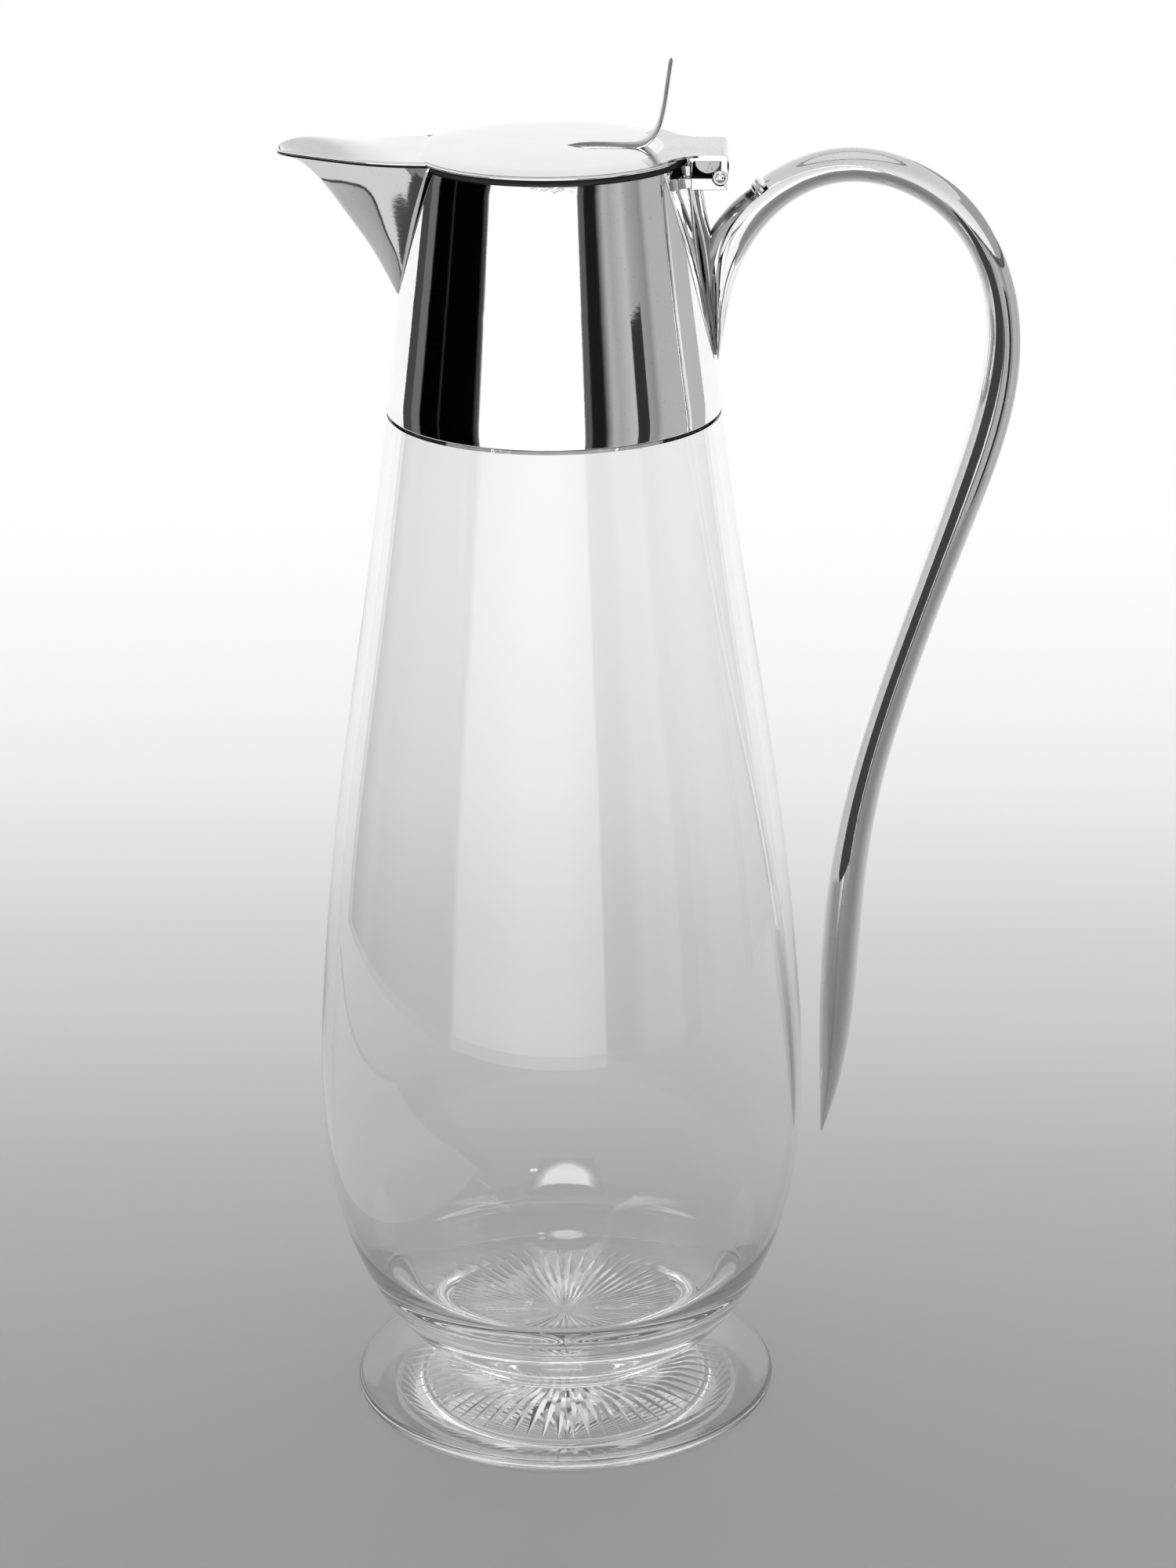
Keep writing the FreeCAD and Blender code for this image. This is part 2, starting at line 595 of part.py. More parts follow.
def main():
    outer_shell, inner_shell, cap, tongue = make_handle_parts()
    pieces = {
        "glass_vessel": make_glass_vessel(),
        "neck_plaster": make_neck_plaster(),
        "mouth_liner": make_mouth_liner(),
        "mount_collar": make_collar(),
        "rim_wire": make_rim_wire(),
        "pouring_spout": make_spout(),
        "lid_plate": make_lid_plate(),
        "lid_bezel": make_lid_bezel(),
        "lid_hinge_leaf": make_lid_leaf(),
        "lid_lugs": make_lid_lugs(),
        "lid_knuckles": make_lid_knuckles(),
        "thumb_piece": make_thumb_piece(),
        "hinge_bracket": make_hinge_bracket(),
        "bracket_knuckle": make_bracket_knuckle(),
        "hinge_pin": make_hinge_pin(),
        "hinge_block": make_hinge_block(),
        "hinge_strap": make_hinge_strap(handle_form(0.0)),
        "handle_outer_shell": outer_shell,
        "handle_inner_shell": inner_shell,
        "handle_notch_cap": cap,
        "handle_tongue": tongue,
    }
    groups = ("lid_lugs", "lid_knuckles")
    os.makedirs("parts", exist_ok=True)
    for name, shape in pieces.items():
        if name not in groups:
            shape = largest_solid(shape)
        shape.exportStep("parts/" + name + ".step")
        print(name, "solids", len(shape.Solids), "valid", shape.isValid(), "volume", round(shape.Volume, 1))


main()
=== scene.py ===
import math

import bmesh
import bpy
import numpy as np
from mathutils import Matrix, Vector


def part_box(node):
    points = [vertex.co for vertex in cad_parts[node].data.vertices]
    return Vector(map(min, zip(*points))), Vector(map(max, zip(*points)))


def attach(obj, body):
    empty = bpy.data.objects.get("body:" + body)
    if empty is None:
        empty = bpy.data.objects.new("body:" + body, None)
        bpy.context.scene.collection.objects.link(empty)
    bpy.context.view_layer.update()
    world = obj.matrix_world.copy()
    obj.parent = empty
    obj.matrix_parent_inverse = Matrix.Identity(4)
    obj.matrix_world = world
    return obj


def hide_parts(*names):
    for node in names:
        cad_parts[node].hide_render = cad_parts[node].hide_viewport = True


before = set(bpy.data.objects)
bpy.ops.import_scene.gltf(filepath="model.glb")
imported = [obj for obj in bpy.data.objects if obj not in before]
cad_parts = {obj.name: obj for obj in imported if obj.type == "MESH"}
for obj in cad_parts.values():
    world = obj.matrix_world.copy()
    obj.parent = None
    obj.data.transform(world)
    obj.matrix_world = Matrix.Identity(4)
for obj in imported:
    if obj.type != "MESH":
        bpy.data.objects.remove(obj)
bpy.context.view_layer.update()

MM = 0.001
WHITE = (1, 1, 1, 1)


def node_box(name):
    """Lowest and highest corner of a CAD node, in millimetres."""
    low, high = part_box(name)
    return low / MM, high / MM


# ---- sizes
_, GLASS_HIGH = node_box("glass_vessel")
COLLAR_LOW, COLLAR_HIGH = node_box("mount_collar")
LID_LOW, LID_HIGH = node_box("lid_plate")
WIRE_LOW, WIRE_HIGH = node_box("rim_wire")

SHEET = 0.8  # thickness of the plated sheet of collar, spout and handle
COLLAR_LOW_R = COLLAR_HIGH.x
COLLAR_LOW_Z = COLLAR_LOW.z
COLLAR_HIGH_R = 30.2
COLLAR_HIGH_Z = COLLAR_HIGH.z
LID_UNDER_Z = LID_LOW.z
LID_PLATE = 0.95  # thickness of the lid's edge
LID_TOP_Z = LID_UNDER_Z + LID_PLATE
LID_R = LID_HIGH.x
BEAK_NOSE_X = LID_LOW.x
BEAK_ROOT = (-26.5, 15.25)  # where the beak's side leaves the lid's circle

FOOT_R = 50.0
FOOT_EDGE = 2.6  # thickness of the foot's rounded edge
FOOT_RECESS = 0.5  # depth and radius of the recess under the foot
FOOT_RECESS_R = 41.0
FOOT_FLAT = 3.0  # the flat under the foot has a ring of vertices this far inside its edge
WAIST = (29.0, 10.8)  # radius and height, as in the profiles below
SHOULDER = (37.5, 241.0)
NECK_R = 33.35
NECK_TOP_Z = GLASS_HIGH.z
NECK_LIP = 1.2  # radius of the rounded lip
NECK_STEP = (35.95, 241.5)  # the shoulder steps in to the neck
BASE_INSIDE_Z = 23.8
FOOT_TOP = [(45.0, 3.15), (40.0, 4.4), (34.0, 6.6), (30.6, 8.6), WAIST]
BODY = [WAIST, (31.9, 14.0), (36.6, 17.4), (45.8, 29.0), (52.8, 46.0), (56.7, 78.0), (55.2, 109.0),
        (50.1, 155.0), (45.5, 185.0), (41.3, 213.0), SHOULDER]
INSIDE = [(30.96, NECK_TOP_Z - NECK_LIP), (34.9, 238.0), (43.0, 185.0), (47.6, 155.0), (52.7, 109.0),
          (54.2, 78.0), (50.9, 46.5), (47.0, 36.8), (42.0, 30.8), (34.5, 27.0), (24.0, 24.9), (11.0, 24.0),
          (1.0, BASE_INSIDE_Z)]

STAR_RAYS = 64
STAR_R = 38.0
STAR_INNER_R = 2.0
STAR_WIDE_R = 25.0  # radius at which a cut is widest and deepest
STAR_DEPTH = 0.6
STAR_FILL = 0.97  # a cut's greatest width as a share of the room it has
STAR_SKIN = 0.02  # faces higher than this above the recess belong to the cuts


# ---- mesh helpers
def smooth_curve(points, per_span=8):
    """Points on a natural cubic spline, spaced by chord length, through the given points."""
    p = np.array(points, float)
    knots = np.concatenate([[0.0], np.cumsum(np.linalg.norm(np.diff(p, axis=0), axis=1))])
    gaps = np.diff(knots)
    count = len(p)
    matrix = np.eye(count)
    right = np.zeros_like(p)
    for i in range(1, count - 1):
        matrix[i, i - 1] = gaps[i - 1]
        matrix[i, i] = 2 * (gaps[i - 1] + gaps[i])
        matrix[i, i + 1] = gaps[i]
        right[i] = 6 * ((p[i + 1] - p[i]) / gaps[i] - (p[i] - p[i - 1]) / gaps[i - 1])
    bend = np.linalg.solve(matrix, right)
    curve = []
    for i in range(count - 1):
        h = gaps[i]
        for k in range(per_span):
            t = h * k / per_span
            rest = h - t
            curve.append((bend[i] * rest ** 3 + bend[i + 1] * t ** 3) / (6 * h)
                         + (p[i] / h - bend[i] * h / 6) * rest
                         + (p[i + 1] / h - bend[i + 1] * h / 6) * t)
    curve.append(p[-1])
    return [tuple(float(v) for v in point) for point in curve]


def arc(centre, radius, start, end, steps):
    """Points (a, b) on a circle from one angle to another, in degrees."""
    points = []
    for i in range(steps + 1):
        angle = math.radians(start + (end - start) * i / steps)
        points.append((centre[0] + radius * math.cos(angle), centre[1] + radius * math.sin(angle)))
    return points


def ring(radius, z, count):
    """Points on a level circle."""
    return [(radius * math.cos(2 * math.pi * i / count), radius * math.sin(2 * math.pi * i / count), z)
            for i in range(count)]


def between(table, t):
    """Linear interpolation in a list of (position, value) pairs."""
    if t <= table[0][0]:
        return table[0][1]
    for (t0, v0), (t1, v1) in zip(table, table[1:]):
        if t <= t1:
            return v0 + (v1 - v0) * (t - t0) / (t1 - t0)
    return table[-1][1]


def runs_along(line):
    """Unit direction at each station (x, z, ...) of a line in the plane y = 0."""
    runs = []
    for i in range(len(line)):
        after = line[min(i + 1, len(line) - 1)]
        before = line[max(i - 1, 0)]
        runs.append(Vector((after[0] - before[0], 0, after[1] - before[1])).normalized())
    return runs


def signed_power(value, power):
    """Power of a sine or cosine that keeps its sign; below 1 it squares up a round section."""
    return math.copysign(abs(value) ** power, value)


def add_grid(bm, rows, wrap_columns=False, wrap_rows=False):
    """Quads between rows of points; returns the new vertices row by row."""
    verts = [[bm.verts.new(point) for point in row] for row in rows]
    pairs = list(zip(verts, verts[1:]))
    if wrap_rows:
        pairs.append((verts[-1], verts[0]))
    for a, b in pairs:
        steps = len(a) if wrap_columns else len(a) - 1
        for i in range(steps):
            j = (i + 1) % len(a)
            bm.faces.new((a[i], a[j], b[j], b[i]))
    return verts


def to_object(name, bm, merge=0.0, outward=True):
    """Turns a bmesh in millimetres into an object in metres."""
    if merge > 0:
        bmesh.ops.remove_doubles(bm, verts=bm.verts, dist=merge)
    if outward:
        bmesh.ops.recalc_face_normals(bm, faces=bm.faces)
    bmesh.ops.scale(bm, vec=(MM, MM, MM), verts=bm.verts)
    mesh = bpy.data.meshes.new(name)
    bm.to_mesh(mesh)
    bm.free()
    obj = bpy.data.objects.new(name, mesh)
    bpy.context.scene.collection.objects.link(obj)
    return obj


def tube(name, rows):
    """Object with its skin through closed rows of points and a face at each end."""
    bm = bmesh.new()
    verts = add_grid(bm, rows, wrap_columns=True)
    bm.faces.new(verts[0])
    bm.faces.new(verts[-1])
    return to_object(name, bm)


def add_piece(obj, body, material, node, crease=32):
    """Smooths the piece, gives it its material and lets it take the CAD node's place."""
    for face in obj.data.polygons:
        face.use_smooth = True
    obj.data.set_sharp_from_angle(angle=math.radians(crease))
    obj.data.materials.clear()
    obj.data.materials.append(material)
    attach(obj, body)
    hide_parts(node)


def repaint(obj, material, chosen):
    """Gives the chosen faces another material."""
    obj.data.materials.append(material)
    for face in obj.data.polygons:
        if chosen(face):
            face.material_index = len(obj.data.materials) - 1


BEVEL_SEGMENTS = 3
BEVEL_ANGLE = 35  # edges at least this sharp, in degrees, are rounded
FLAT_ANGLE = 1.0  # faces that meet within this angle become one
WELD = 0.002  # vertices closer than this become one


def bevelled_copy(name, node, width):
    """A copy of a CAD node with its flats joined up and its edges rounded (width in millimetres)."""
    bm = bmesh.new()
    bm.from_mesh(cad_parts[node].data)
    bmesh.ops.scale(bm, vec=(1 / MM, 1 / MM, 1 / MM), verts=bm.verts)
    bmesh.ops.remove_doubles(bm, verts=bm.verts, dist=WELD)
    bmesh.ops.dissolve_limit(bm, angle_limit=math.radians(FLAT_ANGLE), verts=bm.verts, edges=bm.edges)
    obj = to_object(name, bm)
    rounding = obj.modifiers.new("rounding", "BEVEL")
    rounding.width = width * MM
    rounding.segments = BEVEL_SEGMENTS
    rounding.limit_method = "ANGLE"
    rounding.angle_limit = math.radians(BEVEL_ANGLE)
    return obj


# ---- material helpers
class Shader:
    """Builds the node tree of a material or world; inputs are values or other nodes' sockets."""

    def __init__(self, owner):
        owner.use_nodes = True
        self.owner = owner
        self.nodes = owner.node_tree.nodes
        self.links = owner.node_tree.links
        self.nodes.clear()

    def add(self, kind, inputs=None, **settings):
        """Adds a node, with its settings first and then its inputs by name or number."""
        node = self.nodes.new("ShaderNode" + kind)
        for name, value in settings.items():
            setattr(node, name, value)
        for key, value in (inputs or {}).items():
            if isinstance(value, bpy.types.NodeSocket):
                self.links.new(value, node.inputs[key])
            else:
                node.inputs[key].default_value = value
        return node

    def maths(self, operation, a, b=0.0, clamp=False):
        """Math node, whose result clamp keeps between 0 and 1."""
        return self.add("Math", {0: a, 1: b}, operation=operation, use_clamp=clamp).outputs[0]

    def plus(self, a, b):
        return self.maths("ADD", a, b)

    def minus(self, a, b):
        return self.maths("SUBTRACT", a, b)

    def times(self, a, b):
        return self.maths("MULTIPLY", a, b)

    def above(self, a, b):
        return self.maths("GREATER_THAN", a, b)

    def below(self, a, b):
        return self.maths("LESS_THAN", a, b)

    def rays(self):
        return self.add("LightPath").outputs

    def place(self, space="Object"):
        return self.add("TexCoord").outputs[space]

    def split_place(self, space="Object"):
        return self.add("SeparateXYZ", {0: self.place(space)}).outputs

    def fade(self, value, span, low, high):
        """Goes from low to high as the value crosses the span."""
        inputs = {"Value": value, "From Min": span[0], "From Max": span[1], "To Min": low, "To Max": high}
        return self.add("MapRange", inputs).outputs["Result"]

    def ramp(self, source, stops):
        """Colour ramp in greys; stops are (position, grey)."""
        node = self.add("ValToRGB", {0: source})
        elements = node.color_ramp.elements
        while len(elements) > 1:
            elements.remove(elements[-1])
        elements[0].position = stops[0][0]
        elements[0].color = (stops[0][1],) * 3 + (1.0,)
        for position, grey in stops[1:]:
            elements.new(position).color = (grey,) * 3 + (1.0,)
        return node.outputs[0]

    def noise(self, scale, stretch=(1, 1, 1), detail=2.0):
        """Noise in object space; scale is in cycles per metre, stretch multiplies it by axis."""
        place = self.add("Mapping", {"Vector": self.place(), "Scale": stretch})
        inputs = {"Vector": place.outputs["Vector"], "Scale": scale, "Detail": detail}
        return self.add("TexNoise", inputs).outputs["Fac"]

    def spots(self, scale, size, share):
        """Mask of scattered dots: cells per metre, dot size and the share of cells that have one."""
        cells = self.add("TexVoronoi", {"Vector": self.place(), "Scale": scale}).outputs
        pick = self.add("SeparateColor", {0: cells["Color"]}).outputs[0]
        return self.times(self.below(cells["Distance"], size), self.below(pick, share))

    def bump(self, height, strength, distance):
        return self.add("Bump", {"Height": height, "Strength": strength, "Distance": distance}).outputs[0]

    def glow(self, strength, color=WHITE):
        return self.add("Emission", {"Color": color, "Strength": strength}).outputs[0]

    def clear(self):
        return self.add("BsdfTransparent").outputs[0]

    def mix(self, share, first, second):
        return self.add("MixShader", {0: share, 1: first, 2: second}).outputs[0]

    def finish(self, surface, kind="OutputMaterial"):
        self.add(kind, {0: surface})
        return self.owner


def new_shader(name):
    return Shader(bpy.data.materials.new(name))


def glow_material(name, strength):
    """Plain light of the given strength."""
    shader = new_shader(name)
    return shader.finish(shader.glow(strength))


# ---- materials of the jug
SPOT_CELLS = 2600.0  # tarnish spots: cells per metre, size, and how much darker and rougher
SPOT_SIZE = 0.26
SPOT_DARKER = 0.35
SPOT_ROUGHER = 0.03
CLOUD_SCALE = 90.0  # clouding: cycles per metre, and roughness for each unit of it
CLOUD_ROUGHER = 0.3
RIPPLE_SCALE = 600.0  # polishing ripples: cycles per metre and height in metres
RIPPLE_HEIGHT = 0.00002


def silver(name, shade=0.93, roughness=0.035, speckle=0.12, ripple=0.0, cloud=0.06, grain=(1, 1, 1),
           metal=1.0):
    """Polished silver plate: faint clouding, small tarnish spots and fine polishing ripples."""
    shader = new_shader(name)
    spots = shader.spots(SPOT_CELLS, SPOT_SIZE, speckle)
    patches = shader.noise(CLOUD_SCALE, detail=3.0)
    light = shader.minus(shade + cloud / 2, shader.times(patches, cloud))
    tone = shader.minus(light, shader.times(spots, SPOT_DARKER))
    rough = shader.plus(roughness, shader.times(spots, SPOT_ROUGHER))
    rough = shader.plus(rough, shader.times(patches, cloud * CLOUD_ROUGHER))
    surface = shader.add("BsdfPrincipled", {
        "Metallic": metal,
        "Specular IOR Level": 0.5 * metal,
        "Base Color": shader.add("CombineColor", {0: tone, 1: tone, 2: tone}).outputs[0],
        "Roughness": rough,
        "Normal": shader.bump(shader.noise(RIPPLE_SCALE, stretch=grain), ripple, RIPPLE_HEIGHT),
    })
    return shader.finish(surface.outputs[0])


GLASS_TINT = (0.965, 0.965, 0.965, 1.0)
GLASS_IOR = 1.57
BASE_HAZE = 0.10  # share of a painted glow in the thick base, standing in for light that it scatters at each surface
BASE_HAZE_TONE = 0.42
BASE_HAZE_Z = (0.036, 0.046)  # heights in metres between which the haze fades out
FOOT_CLEAR_R = 0.042  # the foot is clear outside this radius and below this height, in metres
FOOT_CLEAR_Z = 0.012


def clear_glass(name, share=BASE_HAZE, haze_tone=BASE_HAZE_TONE):
    """Clear lead glass, slightly hazy in its thick base, where a painted glow stands in for light that
    bounces about inside.
    """
    shader = new_shader(name)
    x, y, z = shader.split_place()
    reach = shader.maths("SQRT", shader.plus(shader.maths("POWER", x, 2.0), shader.maths("POWER", y, 2.0)))
    foot = shader.times(shader.above(reach, FOOT_CLEAR_R), shader.below(z, FOOT_CLEAR_Z))
    bounced = shader.above(shader.rays()["Ray Depth"], 0.5)
    inside = shader.times(bounced, shader.minus(1.0, foot))
    haze = shader.times(inside, shader.fade(z, BASE_HAZE_Z, share, 0.0))
    body = shader.add("BsdfPrincipled", {"Base Color": GLASS_TINT, "Transmission Weight": 1.0,
                                         "Roughness": 0.0, "IOR": GLASS_IOR})
    return shader.finish(shader.mix(haze, body.outputs[0], shader.glow(haze_tone)))


def plaster_material(name):
    """Matt plaster of Paris with a fine grain."""
    shader = new_shader(name)
    grain = shader.noise(900.0, detail=4.0)
    body = shader.add("BsdfPrincipled", {
        "Base Color": shader.ramp(grain, [(0.3, 0.62), (0.7, 0.8)]),
        "Roughness": 0.85,
        "Normal": shader.bump(grain, 0.5, 0.0001),
    })
    return shader.finish(body.outputs[0])


SILVER_COLLAR = silver("silver_collar", speckle=0.05, ripple=0.12, grain=(1, 1, 2))
SILVER_LID = silver("silver_lid", shade=0.95, speckle=0.02, ripple=0.1, cloud=0.10)
SILVER_HANDLE = silver("silver_handle", speckle=0.10, ripple=0.4, cloud=0.12)
SILVER_LEAF = silver("silver_leaf", shade=0.74, roughness=0.10, speckle=0.45, ripple=0.6, cloud=0.25)
SILVER_HINGE = silver("silver_hinge", shade=0.70, roughness=0.08, speckle=0.2, ripple=0.5, cloud=0.35)
# painted shade: the lugs are dark for the recess round the hinge
SILVER_LUG = silver("silver_lug", shade=0.42, roughness=0.12, speckle=0.3, ripple=1.0, cloud=0.5)
SILVER_THUMB = silver("silver_thumb", shade=0.32, roughness=0.10, speckle=0.25, ripple=0.6, cloud=0.35)
# darker silver for strap and tongue; on the hinge's block and barrels its darkness is painted shade
SILVER_BRACE = silver("silver_brace", shade=0.50, roughness=0.10, speckle=0.1, ripple=0.4, cloud=0.40)
# painted shade: black non-metal for the faces that lie in a seam or in the hinge's shadow, standing in for
# the shade there
SILVER_PAINTED_SHADE = silver("painted_shade_black", shade=0.03, roughness=0.4, speckle=0.0, ripple=0.3, cloud=0.03,
                     metal=0.0)
GLASS = clear_glass("lead_glass")
# painted light and shade: the star's two flanks glow a light and a dark tone, so its cuts show as bright and
# dark lines
CUT_PAINTED_LIGHT = clear_glass("cut_glass_painted_light", share=0.30, haze_tone=0.9)
CUT_PAINTED_SHADE = clear_glass("cut_glass_painted_shade", share=0.35, haze_tone=0.16)
PLASTER = plaster_material("plaster_bed")


# ---- glass
def add_star(bm, rim):
    """Star of V cuts under the foot, inside the recess's rim of vertices."""
    per_ray = len(rim) // STAR_RAYS
    half_width = math.pi * STAR_WIDE_R / STAR_RAYS * STAR_FILL
    middle = bm.verts.new((0, 0, FOOT_RECESS))
    for i in range(STAR_RAYS):
        turn = Matrix.Rotation(2 * math.pi * i / STAR_RAYS, 3, "Z")

        def vert(x, y, z):
            return bm.verts.new(turn @ Vector((x, y, z)))

        inner = vert(STAR_INNER_R, 0, FOOT_RECESS)
        outer = vert(STAR_R, 0, FOOT_RECESS)
        deep = vert(STAR_WIDE_R, 0, FOOT_RECESS + STAR_DEPTH)
        left = vert(STAR_WIDE_R, half_width, FOOT_RECESS)
        right = vert(STAR_WIDE_R, -half_width, FOOT_RECESS)
        for a, b in ((inner, left), (left, outer), (outer, right), (right, inner)):
            bm.faces.new((a, b, deep))
        start = i * per_ray
        half = per_ray // 2
        ahead = [rim[(start + k) % len(rim)] for k in range(half + 1)]
        behind = [rim[(start - k) % len(rim)] for k in range(half + 1)]
        bm.faces.new([middle, inner, left, outer] + ahead)
        bm.faces.new([middle, inner, right, outer] + behind)


def star_side(face):
    """1 or -1 for the two flanks of the star's cuts, 0 for any other face."""
    x, y, z = face.center / MM
    if not FOOT_RECESS + STAR_SKIN < z < FOOT_RECESS + STAR_DEPTH or math.hypot(x, y) > STAR_R:
        return 0
    turn = math.atan2(y, x) * STAR_RAYS / (2 * math.pi)
    return 1 if turn > round(turn) else -1


def glass_profile():
    """Half-section of the vessel, from the recess under the foot round to the middle of its inside."""
    flat_r = FOOT_R - FOOT_EDGE / 2
    lip_z = NECK_TOP_Z - NECK_LIP
    profile = [(FOOT_RECESS_R, FOOT_RECESS), (FOOT_RECESS_R, 0.0), (flat_r - FOOT_FLAT, 0.0)]
    profile += arc((flat_r, FOOT_EDGE / 2), FOOT_EDGE / 2, -90, 90, 14)
    profile += smooth_curve([(flat_r, FOOT_EDGE)] + FOOT_TOP, 8)[1:]
    profile += smooth_curve(BODY, 14)[1:]
    profile += [NECK_STEP, (NECK_R, lip_z)]
    profile += arc((NECK_R - NECK_LIP, lip_z), NECK_LIP, 30, 150, 6)
    profile += smooth_curve(INSIDE, 12)
    return profile


def build_glass():
    """Vessel and foot in one, with the star cut and its flanks painted light and dark."""
    count = 4 * STAR_RAYS
    bm = bmesh.new()
    rows = add_grid(bm, [ring(r, z, count) for r, z in glass_profile()], wrap_columns=True)
    floor = rows[-1]
    centre = bm.verts.new((0, 0, BASE_INSIDE_Z))
    for i in range(count):
        bm.faces.new((floor[i], floor[(i + 1) % count], centre))
    add_star(bm, rows[0])
    obj = to_object("glass_body", bm, merge=0.0005)
    add_piece(obj, "jug", GLASS, "glass_vessel", crease=24)
    repaint(obj, CUT_PAINTED_LIGHT, lambda face: star_side(face) > 0)
    repaint(obj, CUT_PAINTED_SHADE, lambda face: star_side(face) < 0)


# ---- collar, wire and spout
SPOUT_TOP_Z = LID_UNDER_Z - 0.05
SPOUT_FOOT_Z = 267.4
SPOUT_FOOT_HALF = 0.3  # half-width of the spout at its foot
SPOUT_LEAST_HALF = 0.1
SPOUT_MARGIN = 0.55  # keeps its upper edge inside the beak's outline
SPOUT_POINT = 0.25  # its sheet starts this far above its foot
SPOUT_ROWS = 36
SPOUT_FLARE = 0.9  # power with which its root widens upwards
SPOUT_BOW = 0.82  # power with which its lowest slices bow out
SPOUT_TAPER = 0.25  # thickness it gains for each millimetre above its foot
SPOUT_SINK = 0.4  # its edges end this far inside the collar's surface
KEEL_WALL = 1.4  # thickness along X at the keel for each unit of thickness at the sides
SEAM_BAND = 0.3  # height of the band under the lid that is painted black as its shade
COLLAR_MARGIN = 1.4  # the collar's opening is this much narrower on each side than the spout
COLLAR_COLUMNS = 288
COLLAR_ROWS = (6, 14)  # below and beside the opening
WIRE_INSET = 0.45  # from the middle of the collar's sheet in to the middle of the wire
WIRE_GAP = 0.3  # the wire starts this far inside the beak's half-width
WIRE_STEPS = 220
# height, x of the spout's keel
KEEL_LINE = smooth_curve([(267.4, -34.5), (272.0, -36.8), (278.0, -40.1), (284.0, -44.2), (290.0, -48.5),
                          (295.0, -52.6), (298.0, -56.6), (SPOUT_TOP_Z, -60.2)], 6)
# the beak's plan from its nose: share of the length, share of the half-width
OGIVE = [(0.0, 0.0), (0.02, 0.085), (0.08, 0.20), (0.16, 0.31), (0.265, 0.452), (0.37, 0.588), (0.53, 0.775),
         (0.68, 0.90), (0.84, 0.975), (1.0, 1.0)]
OGIVE_LINE = smooth_curve(OGIVE, 6)


def collar_r(z):
    """Outer radius of the collar at a height."""
    slope = (COLLAR_HIGH_R - COLLAR_LOW_R) / (COLLAR_HIGH_Z - COLLAR_LOW_Z)
    return COLLAR_LOW_R + slope * (z - COLLAR_LOW_Z)


def off_collar(point, gap=0.02):
    """Moves a point that would sink into the collar out to its surface."""
    x, y, z = point
    reach = collar_r(z) + gap
    if x > 0 and x * x + y * y < reach * reach and abs(y) < reach:
        x = math.sqrt(reach * reach - y * y)
    return (x, y, z)


def spout_share(z):
    """0 at the spout's foot, 1 at its top."""
    return (z - SPOUT_FOOT_Z) / (SPOUT_TOP_Z - SPOUT_FOOT_Z)


def spout_half(z):
    """Half-width of the spout where it meets the collar."""
    return SPOUT_FOOT_HALF + (BEAK_ROOT[1] - SPOUT_MARGIN) * max(spout_share(z), 0.0) ** SPOUT_FLARE


def spout_row(z, inset):
    """Level slice of the spout's surface, from its root on one side round the keel to the other."""
    share = spout_share(z)
    half = max(spout_half(z) - inset, SPOUT_LEAST_HALF)
    root_x = -math.sqrt(collar_r(z) ** 2 - half ** 2) + SPOUT_SINK
    tip_x = between(KEEL_LINE, z) + KEEL_WALL * inset
    side = []
    for along, across in OGIVE_LINE:
        bowed = across * share + (1 - share) * along ** SPOUT_BOW
        side.append((tip_x + (root_x - tip_x) * along, half * bowed, z))
    return [(x, -y, zz) for x, y, zz in reversed(side[1:])] + side


def open_ring(half, radius, steps):
    """Angles round the axis that leave a gap of the given half-width at the spout."""
    gap = math.asin(half / radius)
    return [math.pi + gap + (2 * math.pi - 2 * gap) * i / steps for i in range(steps + 1)]


def build_collar():
    """Conical sheet, open behind the spout, with a small rounded lower edge."""
    low = COLLAR_LOW_Z + SHEET / 2
    plain, cut = COLLAR_ROWS
    heights = [low + (SPOUT_FOOT_Z - low) * i / plain for i in range(plain)]
    heights += [SPOUT_FOOT_Z + (COLLAR_HIGH_Z - SPOUT_FOOT_Z) * i / cut for i in range(cut + 1)]
    bm = bmesh.new()

    def row(radius, z):
        half = min(max(spout_half(z) - COLLAR_MARGIN, 0.0), radius) if z > SPOUT_FOOT_Z else 0.0
        return [(radius * math.cos(angle), radius * math.sin(angle), z)
                for angle in open_ring(half, radius, COLLAR_COLUMNS)]

    outer = [row(collar_r(z), z) for z in heights]
    inner = [row(collar_r(z) - SHEET, z) for z in heights]
    edge = [row(r, z) for r, z in arc((collar_r(low) - SHEET / 2, low), SHEET / 2, 180, 360, 8)][1:-1]
    add_grid(bm, list(reversed(inner)) + edge + outer, wrap_rows=True)
    for side in (0, -1):
        for k in range(len(heights) - 1):
            corners = [outer[k][side], outer[k + 1][side], inner[k + 1][side], inner[k][side]]
            if heights[k + 1] > SPOUT_FOOT_Z + 0.01:
                bm.faces.new([bm.verts.new(point) for point in corners])
    obj = to_object("collar", bm, merge=0.0005)
    add_piece(obj, "jug", SILVER_COLLAR, "mount_collar")


def build_rim_wire():
    """Round wire on the collar's upper edge, from one side of the spout to the other."""
    radius = (WIRE_HIGH.z - WIRE_LOW.z) / 2
    centre_r = COLLAR_HIGH_R - SHEET / 2 - WIRE_INSET
    centre_z = (WIRE_HIGH.z + WIRE_LOW.z) / 2
    rows = []
    for angle in open_ring(BEAK_ROOT[1] - WIRE_GAP, centre_r, WIRE_STEPS):
        rows.append([((centre_r + a) * math.cos(angle), (centre_r + a) * math.sin(angle), centre_z + b)
                     for a, b in arc((0, 0), radius, 0, 330, 11)])
    # painted shade: the wire is black for the shadow under the lid's edge
    add_piece(tube("collar_rim_wire", rows), "jug", SILVER_PAINTED_SHADE, "rim_wire")


